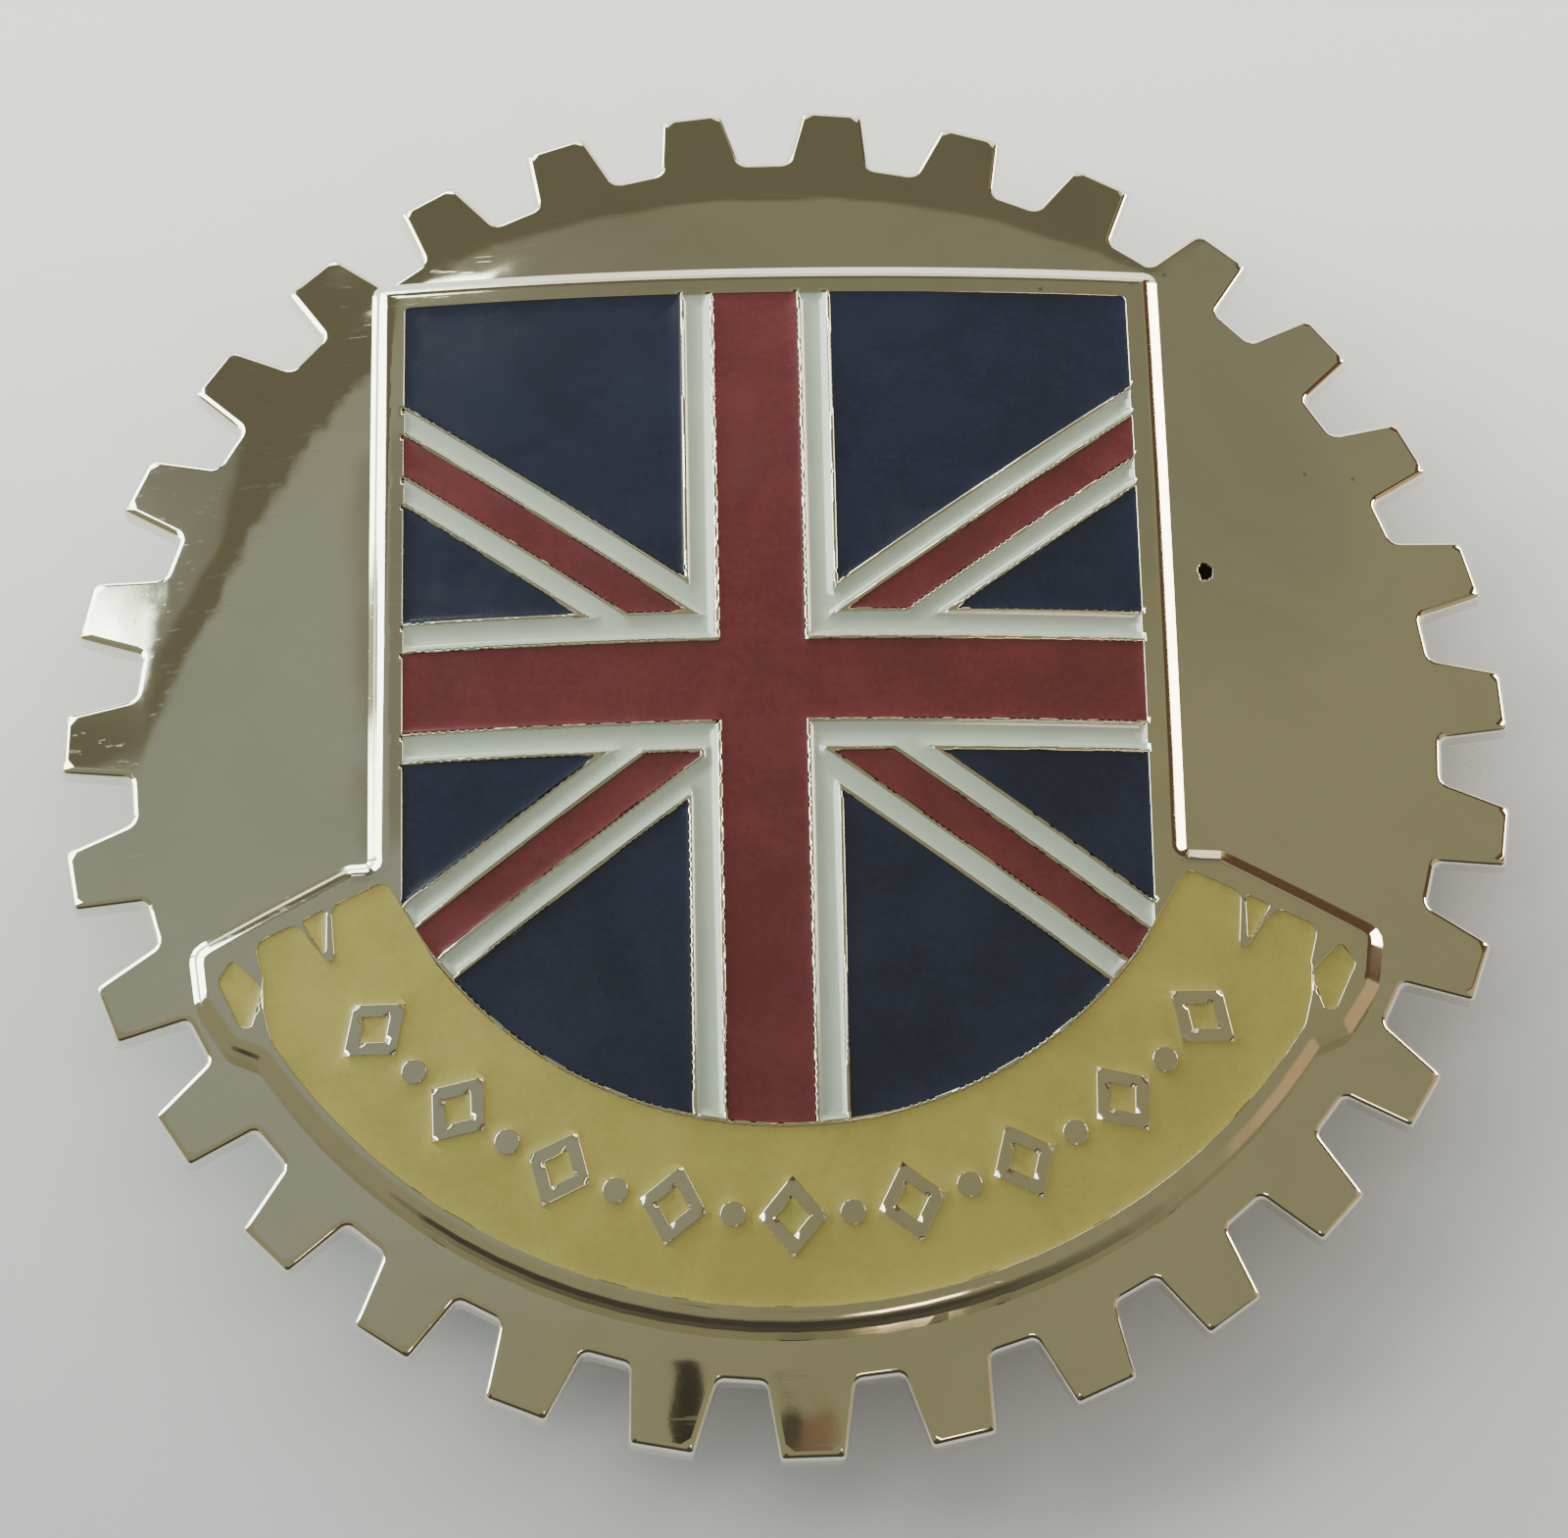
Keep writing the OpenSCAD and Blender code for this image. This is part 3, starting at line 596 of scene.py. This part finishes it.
def handling_group():
    """Marks of handling on metal: smudges, hair scratches in two directions, pits, and a slow waviness"""
    outputs = dict.fromkeys(("Smudge", "Scratch", "Pit", "Height"), "Float")
    tree, into, out = group("handling", {"Vector": "Vector", "Waves": "Float"}, outputs)
    at = into["Vector"]
    smudge = ramp(noise(at, 75, 5, 0.62, 0.6), 0.42, 0.66)
    lines = []
    for turn, scale in ((0.5, 95.0), (-1.1, 130.0)):
        grain = noise(stretched(at, (scale / 30, scale, scale), turn), 26, 2, 0.55)
        lines.append(ramp(grain, 0.655, 0.70))
    scratch = maths("MAXIMUM", *lines)
    pit = product(specks(at, 330.0, 0.06, 0.03), ramp(noise(at, 210, 2), 0.56, 0.66))
    waves = product(noise(at, 110, 2, 0.5), into["Waves"])
    height = maths("ADD", waves, product(noise(at, 900, 3, 0.6), 0.02))
    height = added(pit, -0.2, added(scratch, -0.008, height))
    feed(out, {"Smudge": smudge, "Scratch": scratch, "Pit": pit, "Height": height})
    return tree


def firing_group():
    """What firing leaves in enamel: cloudy colour, fine grain, pinholes and a softly uneven face"""
    inputs = {"Vector": "Vector", "Deep": "Color", "Full": "Color", "Grain": "Float"}
    tree, into, out = group("firing", inputs, {"Color": "Color", "Dust": "Float", "Height": "Float"})
    at = into["Vector"]
    cloud = noise(at, 160, 4, 0.6, 0.4)
    grain = noise(at, 2600, 2, 0.6)
    tone = added(maths("SUBTRACT", grain, 0.5), into["Grain"], cloud)
    shown = blend(ramp(tone, 0.25, 0.75), into["Deep"], into["Full"])
    hole = product(specks(at, 700.0, 0.12, 0.05), ramp(noise(at, 300, 1), 0.60, 0.68))
    dust = ramp(noise(at, 95, 6, 0.7), 0.5, 0.72)
    height = added(hole, -0.5, added(grain, 0.12, noise(at, 320, 2)))
    feed(out, {"Color": shown, "Dust": dust, "Height": height})
    return tree


def shared(maker, name, values):
    """The outputs of a group node; its group is made when it is first asked for"""
    tree = bpy.data.node_groups.get(name) or maker()
    return node(values["Vector"].id_data, "ShaderNodeGroup", values, node_tree=tree).outputs


def new_material(name, rgb):
    """An empty material, its shader and the point on the object"""
    material = bpy.data.materials.new(name)
    material.use_nodes = True
    material.diffuse_color = (*rgb, 1.0)
    tree = material.node_tree
    return material, tree.nodes["Principled BSDF"], node(tree, "ShaderNodeTexCoord").outputs["Object"]


def shade(rgb, factor):
    """A colour made darker or lighter, with full alpha"""
    return (*(min(1.0, c * factor) for c in rgb), 1.0)


def plated(name, rgb, rough, waves, blemish=None):
    """Plated metal: smudges and scratches change its gloss, pits darken it, and its face is slightly wavy.

    A blemish is a small black spot with a ragged edge, at that place."""
    material, shader, at = new_material(name, rgb)
    marks = shared(handling_group, "handling", {"Vector": at, "Waves": waves})
    tone = blend(marks["Smudge"], shade(rgb, 1.0), shade(rgb, 0.93))
    tone = blend(product(marks["Pit"], 0.6), tone, shade(rgb, 0.25))
    gloss = added(marks["Scratch"], 0.05, added(marks["Smudge"], 0.03, rough))
    height = marks["Height"]
    if blemish:
        spot = vectors("SUBTRACT", at, (*blemish, 0.0))[0]
        spot = vectors("MULTIPLY", spot, (1.0, 0.7, 0.0))[0]
        away = vectors("LENGTH", spot)["Value"]
        mask = ramp(added(noise(at, 2500, 2), 0.0004, away), 0.00072, 0.00058)
        tone = blend(mask, tone, (0.015, 0.014, 0.013, 1.0))
        gloss = added(mask, 0.5, gloss)
        height = added(mask, -1.5, height)
    normal = bump(height, 0.00004)
    feed(shader, {"Base Color": tone, "Roughness": gloss, "Metallic": 1.0, "Normal": normal})
    return material


def enamel(name, rgb, rough, contrast, grain, coat):
    """Fired enamel: cloudy colour, a soft gloss that dust dulls, pinholes and grain"""
    material, shader, at = new_material(name, rgb)
    deep, full = shade(rgb, 1 - contrast), shade(rgb, 1 + contrast)
    fired = shared(firing_group, "firing", {"Vector": at, "Deep": deep, "Full": full, "Grain": grain})
    feed(shader, {
        "Base Color": fired["Color"],
        "Roughness": added(fired["Dust"], 0.12, rough),
        "Coat Weight": coat,
        "Coat Roughness": 0.12,
        "Normal": bump(fired["Height"], 0.00002),
    })
    return material


def cold_metal(name, rgb, rough, grain_scale, tarnish):
    """Machined or rolled metal with a grain along it and darker stains"""
    material, shader, at = new_material(name, rgb)
    marks = shared(handling_group, "handling", {"Vector": at, "Waves": 0.5})
    grain = noise(stretched(at, grain_scale, 0.0), 1.0, 3, 0.6)
    stain = ramp(noise(at, 240, 5, 0.65), 0.5, 0.7)
    rust = shade((rgb[0] * 0.5, rgb[1] * 0.4, rgb[2] * 0.3), 1)
    tone = blend(grain, shade(rgb, 0.82), shade(rgb, 1.08))
    tone = blend(product(stain, tarnish), tone, rust)
    gloss = added(stain, 0.15, added(grain, 0.1, rough))
    normal = bump(added(grain, 0.25, marks["Height"]), 0.00004)
    feed(shader, {"Base Color": tone, "Roughness": gloss, "Metallic": 1.0, "Normal": normal})
    return material


# Each finish: its material's name, its maker, and the maker's values after the name and colour
FINISHES = {
    "chrome": ("polished_plate", plated, 0.03, 1.0, (0.0262, 0.0103)),
    "relief": ("polished_relief", plated, 0.06, 1.6),
    "red": ("fired_red", enamel, 0.24, 0.16, 0.6, 0.3),
    "white": ("fired_white", enamel, 0.12, 0.06, 0.3, 0.9),
    "navy": ("fired_navy", enamel, 0.22, 0.2, 0.6, 0.3),
    "cream": ("fired_cream", enamel, 0.34, 0.10, 0.5, 0.1),
    "steel": ("zinc_steel", cold_metal, 0.28, (60.0, 2400.0, 2400.0), 0.35),
    "brass": ("plated_brass", cold_metal, 0.24, (300.0, 300.0, 4200.0), 0.5),
}


def finished(finish):
    """The material of a finish, made when it is first asked for"""
    name, maker, *values = FINISHES[finish]
    rgb = tuple(getattr(bpy.context.scene.badge_colours, finish))
    return bpy.data.materials.get(name) or maker(name, rgb, *values)


def cells(s, dish):
    """Each enamel's node, finish and outlines, which spread a little way over the lines round its cell"""
    for word, finish in ENAMELS.items():
        spread = s.flood if finish in ("red", "navy") else s.pale_flood
        for name in sorted(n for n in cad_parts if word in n):
            found = rims(name, dish.mid, s.dome_r + s.emblem_t - s.cell_depth)
            yield name, finish, [divided(widened(outline, spread), STEP) for outline in found]


def centre(s, sign):
    """The middle of the screw on the side of that sign"""
    return np.array([sign * s.screw_pitch / 2, s.screw_y])


def bores(s, diameter, n):
    """The outlines of a hole round each screw, clockwise"""
    return [circle(centre(s, sign), diameter / 2, n)[::-1] for sign in SIDES.values()]


class BADGE_OT_plate(bpy.types.Operator):
    """Make the toothed, dished plate with its two holes for the pillars' spigots"""

    bl_idname = "badge.plate"
    bl_label = "Toothed Plate"

    def execute(self, context):
        s = context.scene.badge_sizes
        dish = Dish(s)
        root_r = s.tip_r - s.tooth_depth
        tip_a, root_a = math.asin(s.tip_w / 2 / s.tip_r), math.asin(s.root_w / 2 / root_r)
        tooth = (np.arange(s.tooth_n) + 0.5) * 2 * np.pi / s.tooth_n - s.tooth_turn
        spokes = tooth[::-1, None] + np.array([root_a, tip_a, -tip_a, -root_a])
        radii = np.array([root_r, s.tip_r, s.tip_r, root_r])
        corners = np.stack([radii * np.sin(spokes), radii * np.cos(spokes)], -1).reshape(-1, 2)
        rounds = np.tile([s.root_round, s.tip_round, s.tip_round, s.root_round], s.tooth_n)
        rim = divided(rounded(corners, rounds, 6), STEP)

        def top(points, gap, away):
            return eased(dish.face(points, 0.0), fillet(gap, s.plate_edge), away)

        def bottom(points, gap, away):
            return eased(dish.face(points, -s.plate_t), fillet(gap, s.plate_edge / 2), away, -1)

        outlines = [rim] + bores(s, s.spigot_d, 64)
        parts = slab(outlines, edge_rings(s.plate_edge), 1.3 * MM, top, bottom)
        piece("plate", parts, "chrome", "badge", "cog_plate")
        return {"FINISHED"}


class BADGE_OT_casting(bpy.types.Operator):
    """Make the relief of shield and scroll, with a cell for each enamel"""

    bl_idname = "badge.casting"
    bl_label = "Emblem Casting"

    def execute(self, context):
        s = context.scene.badge_sizes
        dish = Dish(s)
        outline = divided(max(rims("emblem_casting", dish.mid, s.dome_r), key=len)[::-1], STEP)
        sockets = bores(s, s.spigot_d, 48)
        enamels = [o for *_, found in cells(s, dish) for o in found]
        lines = [o[::-1] for o in enamels]
        rings = [s.line_round * share for share in (0.15, 0.5, 1)]
        rings += [s.ledge_at * share for share in (0.6, 0.9, 1.1)]
        rings += [s.bevel_w * share for share in (0.65, 0.85, 1, 1.25)]
        points, triangles = field([outline] + lines, rings, 1.2 * MM)
        gap, away = nearest(points, edges_of([outline]))
        soft, step_soft, fade_w = 0.12 * MM, 0.018 * MM, 30 * MM
        face = dish.sphere(points, s.emblem_t)
        face = eased(face, bevel(gap, s.bevel_w, soft, math.tan(s.bevel_tilt)), away)
        drop = s.ledge_drop * np.clip(0.5 - points[:, 0] / fade_w, 0, 1)  # the step fades to the right
        face = eased(face, ledge(gap, s.ledge_at, drop, step_soft), away)
        gap, away = nearest(points, edges_of(lines))
        height, slope = eased(face, fillet(gap, s.line_round), away)
        every, seat = np.concatenate(lines), np.concatenate(sockets)
        brink = height[len(outline) : len(outline) + len(every)]
        base = field([outline] + sockets, [1 * MM], 2 * MM)
        floor = field(enamels, [0.3 * MM], 2 * MM)
        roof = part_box("pillar_left")[1].z
        parts = [
            sheet(points, triangles, height, slope),
            wall([outline], dish.sphere(outline, 0.0)[0], height[: len(outline)]),
            wall(lines, dish.sphere(every, s.floor_t)[0], brink),
            sheet(*floor, *dish.sphere(floor[0], s.floor_t)),
            sheet(*base, *dish.sphere(base[0], 0.0), up=False),
            wall(sockets, dish.sphere(seat, 0.0)[0], level(seat, roof)[0]),
        ]
        for socket in sockets:
            ceiling = field([socket[::-1]], [0.5 * MM], 1.5 * MM)
            parts.append(sheet(*ceiling, *level(ceiling[0], roof), up=False))
        piece("emblem", parts, "relief", "badge", "emblem_casting")
        return {"FINISHED"}


class BADGE_OT_enamels(bpy.types.Operator):
    """Fill every cell of the flag and the scroll with its enamel"""

    bl_idname = "badge.enamels"
    bl_label = "Enamels"

    def execute(self, context):
        s = context.scene.badge_sizes
        dish = Dish(s)

        def sunk(points, gap, away):
            """The face falls by sag * (1 - exp(-gap / reach)) from its edge"""
            settled = np.exp(-gap / s.enamel_reach)
            fall = s.enamel_sag * (1 - settled), -s.enamel_sag * settled / s.enamel_reach
            return eased(dish.sphere(points, s.emblem_t - s.enamel_low), fall, away)

        def hollow(points, gap, away):
            """The face falls by sag * (2 g - g^2), where g is the distance over half the width"""
            g = np.minimum(gap / s.border_half, 1)
            fall = s.border_sag * (2 * g - g**2), -2 * s.border_sag * (1 - g) / s.border_half
            return eased(dish.sphere(points, s.emblem_t - s.enamel_low), fall, away)

        def bottom(points, gap, away):
            return dish.sphere(points, s.floor_t)

        rings = [distance * MM for distance in (0.09, 0.2, 0.32, 0.45, 0.6, 0.9)]
        for name, finish, outlines in cells(s, dish):
            top = hollow if finish == "white" else sunk
            parts = slab(outlines, rings, 1.4 * MM, top, bottom)
            piece(name + "_fill", parts, finish, "badge", name)
        return {"FINISHED"}


class BADGE_OT_fixing(bpy.types.Operator):
    """Make the clamp bar and the washers, and finish the pillars"""

    bl_idname = "badge.fixing"
    bl_label = "Bar, Washers and Pillars"

    def execute(self, context):
        s = context.scene.badge_sizes
        for side in SIDES:
            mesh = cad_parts["pillar_" + side].data
            mesh.materials.clear()
            mesh.materials.append(finished("brass"))
            mesh.shade_smooth()
            mesh.set_sharp_from_angle(angle=math.radians(30))
        corners = np.array([[-1, -1], [1, -1], [1, 1], [-1, 1]]) * [s.bar_len / 2, s.bar_w / 2]
        outline = divided(rounded(corners + [0, s.screw_y], np.full(4, s.bar_w / 4), 10), 1 * MM)
        plain_slab("bar_plate", [outline] + bores(s, s.bar_hole, 48), "clamp_bar", s.edge_round * 1.5)
        rest = math.asin(s.spring_cut / s.spring_d)
        spokes = arc(1, np.pi / 2 + rest, 2.5 * np.pi - rest, 70)
        spring = np.concatenate([spokes * s.spring_d / 2, spokes[::-1] * s.spring_hole / 2])
        for side, sign in SIDES.items():
            at = centre(s, sign)
            rings = [circle(at, s.washer_d / 2, 72), circle(at, s.washer_hole / 2, 48)[::-1]]
            plain_slab("washer_ring_" + side, rings, "flat_washer_" + side, s.edge_round)
            rings = [divided(spring + at, STEP)]
            plain_slab("spring_ring_" + side, rings, "spring_washer_" + side, s.edge_round * 0.6)
        return {"FINISHED"}


def plain_slab(name, outlines, node_name, edge):
    """A flat piece on the bar's body, as high as its node, with rounded edges above and below"""
    low, high = (corner.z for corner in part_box(node_name))

    def top(points, gap, away):
        return eased(level(points, high), fillet(gap, edge), away)

    def bottom(points, gap, away):
        return eased(level(points, low), fillet(gap, edge), away, -1)

    parts = slab(outlines, edge_rings(edge), 1.5 * MM, top, bottom)
    piece(name, parts, "steel", "bar", node_name)


class BADGE_OT_screws(bpy.types.Operator):
    """Make the two slotted screws with their threads"""

    bl_idname = "badge.screws"
    bl_label = "Screws"

    def execute(self, context):
        s = context.scene.badge_sizes
        for side, sign in SIDES.items():
            node_name, at = "screw_" + side, centre(s, sign)
            low, high = (corner.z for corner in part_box(node_name))
            parts = screw_head(s, at, sign * s.slot_turn, low) + threaded_rod(s, at, s.head_h, high)
            piece("slotted_" + node_name, parts, "steel", node_name, node_name)
        return {"FINISHED"}


def threaded_rod(s, at, low, high):
    """A threaded rod with a tapered end. At height z and angle a its radius is the outer one less the
    thread's depth times a wave of z / pitch - a / turn, flat on the crests, that fades in at the head."""
    rows_a_turn, columns, flats, taper = 12, 40, 0.1, 0.22
    z = np.linspace(low, high, int((high - low) / s.thread_pitch * rows_a_turn))[:, None]
    a = np.linspace(0, 2 * np.pi, columns, endpoint=False)[None]
    phase = (z / s.thread_pitch - a / (2 * np.pi)) % 1
    groove = np.clip((1 + 2 * flats) * (1 - np.abs(2 * phase - 1)) - flats, 0, 1)
    fade = np.clip((z - low) / s.thread_pitch, 0, 1)
    lead = np.clip((high - z) / s.thread_pitch, 0, 1)
    r = (s.screw_d / 2 - s.thread_depth * groove * fade) * (1 - taper + taper * lead)
    xyz = np.stack([at[0] + r * np.cos(a), at[1] + r * np.sin(a), z + 0 * a], -1)
    across = np.roll(xyz, -1, 1) - np.roll(xyz, 1, 1)
    rod = tube(xyz, flat(np.cross(across, np.gradient(xyz, axis=0))))
    end = field([xyz[-1, :, :2]], [0.3 * MM], 1 * MM)
    return [rod, sheet(*end, *level(end[0], high))]


def screw_head(s, at, turn, low):
    """A round head with a slot: a disc, and below the slot's floor two cheeks, each cut off by a line"""
    r, edge = s.head_d / 2, s.edge_round
    rest = math.asin(s.slot_w / 2 / r)
    spin = np.array([[math.cos(turn), math.sin(turn)], [-math.sin(turn), math.cos(turn)]])
    bow, mouth = arc(r, rest, np.pi - rest, 42), arc(r, np.pi - rest, np.pi + rest, 8)[1:-1]
    line = np.linspace(bow[-1], bow[0], 16)[1:-1]
    cheek = np.concatenate([bow, line])
    rim = np.concatenate([bow, mouth, -bow, -mouth]) @ spin + at
    half = np.concatenate([bow[-1:], mouth, -bow[:1], -line[::-1]])
    floor, floor_z = filled([np.concatenate([half, -half]) @ spin + at], edge), low + s.slot_d
    parts = [sheet(*floor, *level(floor[0], floor_z), up=False)]
    for outline in (cheek @ spin + at, -cheek @ spin + at):
        points, triangles = filled([outline], edge)
        gap, away = nearest(points, edges_of([outline]))
        under = eased(level(points, low), fillet(gap, edge), away, -1)
        parts.append(sheet(points, triangles, *under, up=False))
        parts.append(wall([outline], under[0][: len(outline)], level(outline, floor_z)[0]))
    points, triangles = filled([rim, circle(at, s.screw_d / 2, 40)[::-1]], edge)
    gap, away = nearest(points, edges_of([rim]))
    over = eased(level(points, s.head_h), fillet(gap, edge), away)
    parts.append(sheet(points, triangles, *over))
    parts.append(wall([rim], level(rim, floor_z)[0], over[0][: len(rim)]))
    return parts


def filled(outlines, edge):
    """Points and triangles inside the outlines, with rings along them for a rounded edge"""
    return field(outlines, edge_rings(edge), 1 * MM)


def patch(at, corners, soft):
    """How far a direction lies inside a convex polygon: the product of a soft step at each side.

    A side's plane holds two corners and the eye, and soft is the step's width in degrees."""
    a, e = np.radians(corners).reshape(-1, 2).T
    ways = np.stack([np.cos(e) * np.cos(a), np.cos(e) * np.sin(a), np.sin(e)], -1)
    sides = flat(np.cross(ways, np.roll(ways, -1, 0)))
    sides *= np.sign(sides @ ways.sum(0))[:, None]
    step = math.sin(math.radians(soft / 2))
    steps = [ramp(vectors("DOT_PRODUCT", at, side)["Value"], -step, step) for side in sides.tolist()]
    return functools.reduce(product, steps)


# What the plating mirrors, the later over the earlier: the azimuth and elevation of each corner of a patch,
# the width of its soft edge, all in degrees, and its colour
ROOM = (
    ((-140, 0, -140, 22, -40, 22, -40, 0), 12, (0.07, 0.06, 0.045)),
    ((-30, -2, -30, 22, 70, 22, 70, -2), 12, (0.6, 0.42, 0.22)),
    ((108, 58, 66, 62, 44, 46, 60, 20, 112, 20), 14, (0.245, 0.235, 0.15)),
    ((108, 89, 108, 40, 165, 30, -150, 60), 26, (0.33, 0.345, 0.26)),
    ((152, 46, 131, 50, 112, 43, 96, 8, 152, 8), 1.2, (0.155, 0.142, 0.085)),
    ((112, 34, 90, 37.5, 67, 33, 55, 8, 118, 8), 1.2, (0.155, 0.142, 0.085)),
    ((129, 46, 125, 40, 123, 30, 130, 18, 150, 18, 152, 43), 1.5, (0.24, 0.235, 0.17)),
    ((133, 44, 145, 44.5, 172, 30, 178, -2, 112, -2, 115, 16, 131, 37), 2, (9.0, 9.6, 8.2)),
    ((152, 0, 152.5, 15.5, 158, 16.5, 158.5, 0), 2, (0.6, 0.58, 0.36)),
    ((116, -2, 116, 18, 97, 19, 97, -2), 6, (8.0, 8.6, 7.0)),
    ((100, 2, 100, 18, 70, 17, 70, 2), 7, (1.8, 1.65, 1.1)),
    ((113, 35.6, 112, 37.6, 105.5, 41, 104.8, 40, 109.3, 35.8), 0.8, (9.0, 9.6, 7.5)),
    ((-80, 37, -79, 43, -68, 44, -66, 38), 2, (12.0, 8.5, 5.0)),
    ((140, 65, 116.6, 48.2, 105.4, 50.3, 123.7, 70.2), 1.5, (0.24, 0.24, 0.165)),
    ((-111.8, 73.8, -107.1, 74.2, -104.1, 71.2, -108.1, 70.9), 0.25, (0.045, 0.04, 0.03)),
    ((-87.2, 73.3, -81.1, 73.1, -81.9, 71.6, -87.5, 71.7), 0.2, (0.22, 0.13, 0.075)),
    ((-90.8, 73.7, -87.2, 73.4, -87.5, 71.7, -90.7, 71.7), 0.2, (0.05, 0.045, 0.035)),
    ((62, -4, 62, 18, 46, 30, 20, 42, 4, 42, 4, -4), 5, (0.13, 0.075, 0.04)),
    ((44, -4, 44, 6, 34, 13, 22, 17, 12, 18, 12, 6, 28, -4), 1.5, (15.0, 13.0, 9.5)),
)


class BADGE_OT_stage(bpy.types.Operator):
    """Set the pale floor, the soft light and the camera"""

    bl_idname = "badge.stage"
    bl_label = "Stage"

    def execute(self, context):
        self.floor(context.scene)
        self.surroundings(context.scene)
        self.lights(context.scene)
        self.camera(context.scene)
        return {"FINISHED"}

    def floor(self, scene):
        """A large flat sheet of paper under the screw heads, with painted shade that darkens its lower half
        """
        rgb = tuple(scene.badge_colours.paper)
        material, shader, at = new_material("paper", rgb)
        tone = blend(ramp(noise(at, 9, 3), 0.3, 0.7), shade(rgb, 0.98), shade(rgb, 1.02))
        height = node(at.id_data, "ShaderNodeSeparateXYZ", {"Vector": at}).outputs["Y"]
        # painted shade: the paper's colour fades to a darker, cooler grey toward its lower half, standing in
        # for light that falls off there
        painted_falloff = ramp(height, -0.062, 0.055)
        tone = blend(painted_falloff, shade((rgb[0] * 0.97, rgb[1], rgb[2] * 1.04), 0.56), tone)
        normal = bump(noise(at, 900, 5, 0.65), 0.00003)
        feed(shader, {"Base Color": tone, "Roughness": 0.85, "Normal": normal})
        mesh = bpy.data.meshes.new("paper")
        half = 2.0  # metres, so that its edge is never seen
        corners = [(-half, -half, 0), (half, -half, 0), (half, half, 0), (-half, half, 0)]
        mesh.from_pydata(corners, [], [(0, 1, 2, 3)])
        mesh.materials.append(material)
        made = bpy.data.objects.new("paper", mesh)
        scene.collection.objects.link(made)

    def surroundings(self, scene):
        """The room that the plating mirrors: a dim ceiling, darker walls, windows and a lamp"""
        world = bpy.data.worlds.new("studio")
        scene.world = world
        world.use_nodes = True
        tree = world.node_tree
        tree.nodes.clear()
        at = node(tree, "ShaderNodeTexCoord").outputs["Generated"]
        tone = (0.30, 0.282, 0.16, 1.0)
        for corners, soft, rgb in ROOM:
            tone = blend(patch(at, corners, soft), tone, (*rgb, 1.0))
        rays = node(tree, "ShaderNodeLightPath").outputs["Is Diffuse Ray"]
        tone = blend(product(rays, 0.72), tone, (0.95, 0.94, 0.91, 1.0))
        back = node(tree, "ShaderNodeBackground", {"Color": tone, "Strength": 1.0})
        node(tree, "ShaderNodeOutputWorld", {"Surface": back.outputs[0]})

    def lights(self, scene):
        """Soft area lights with place, size, power and colour; the plating mirrors the room, not them"""
        for name, spot, size, power, rgb in (
            ("skylight", (-0.03, 0.22, 0.16), (0.4, 0.1), 0.75, (1.0, 1.0, 0.93)),
            ("side", (-0.8, 0.15, 0.42), (0.3, 0.3), 3.6, (0.95, 1.0, 1.05)),
        ):
            light = bpy.data.lights.new(name, "AREA")
            light.shape = "RECTANGLE"
            light.size, light.size_y = size
            light.energy, light.color = power, rgb
            made = bpy.data.objects.new(name, light)
            made.matrix_world = aimed(spot, (0, 0, 0), 0)
            made.visible_glossy = False
            scene.collection.objects.link(made)

    def camera(self, scene):
        """The photograph's view: above and in front, slightly turned"""
        data = bpy.data.cameras.new("camera")
        data.lens, data.sensor_width, data.sensor_fit = 141.15, 36.0, "HORIZONTAL"
        data.clip_start, data.clip_end = 0.01, 20.0
        made = bpy.data.objects.new("camera", data)
        spot, target, roll = (-0.00588, -0.14061, 0.36105), (-0.00020, -0.00137, 0.008), math.radians(1.27)
        made.matrix_world = aimed(spot, target, roll)
        scene.collection.objects.link(made)
        scene.camera = made


def aimed(spot, target, roll):
    """The matrix of a camera or light that looks from a spot at a target, rolled about its line of sight"""
    ahead = flat(np.subtract(target, spot))
    right = flat(np.cross(ahead, [0.0, 0.0, 1.0]))
    up = np.cross(right, ahead)
    right, up = math.cos(roll) * right + math.sin(roll) * up, math.cos(roll) * up - math.sin(roll) * right
    made = np.identity(4)
    made[:3] = np.stack([right, up, -ahead, spot], 1)
    return Matrix(made.tolist())


class BADGE_PT_panel(bpy.types.Panel):
    """The badge's operators in the sidebar"""

    bl_label = "Grille Badge"
    bl_idname = "BADGE_PT_panel"
    bl_space_type = "VIEW_3D"
    bl_region_type = "UI"
    bl_category = "Badge"

    def draw(self, context):
        for operator in OPERATORS:
            self.layout.operator(operator.bl_idname)
        for settings in (context.scene.badge_sizes, context.scene.badge_colours):
            box = self.layout.box()
            for key in settings.__annotations__:
                box.prop(settings, key)


OPERATORS = (
    BADGE_OT_plate, BADGE_OT_casting, BADGE_OT_enamels, BADGE_OT_fixing, BADGE_OT_screws, BADGE_OT_stage
)
CLASSES = (BadgeSizes, BadgeColours, *OPERATORS, BADGE_PT_panel)


def register():
    for cls in CLASSES:
        bpy.utils.register_class(cls)
    bpy.types.Scene.badge_sizes = bpy.props.PointerProperty(type=BadgeSizes)
    bpy.types.Scene.badge_colours = bpy.props.PointerProperty(type=BadgeColours)


def unregister():
    del bpy.types.Scene.badge_colours
    del bpy.types.Scene.badge_sizes
    for cls in reversed(CLASSES):
        bpy.utils.unregister_class(cls)


def main():
    register()
    bpy.ops.badge.plate()
    bpy.ops.badge.casting()
    bpy.ops.badge.enamels()
    bpy.ops.badge.fixing()
    bpy.ops.badge.screws()
    bpy.ops.badge.stage()


if __name__ == "__main__":
    main()
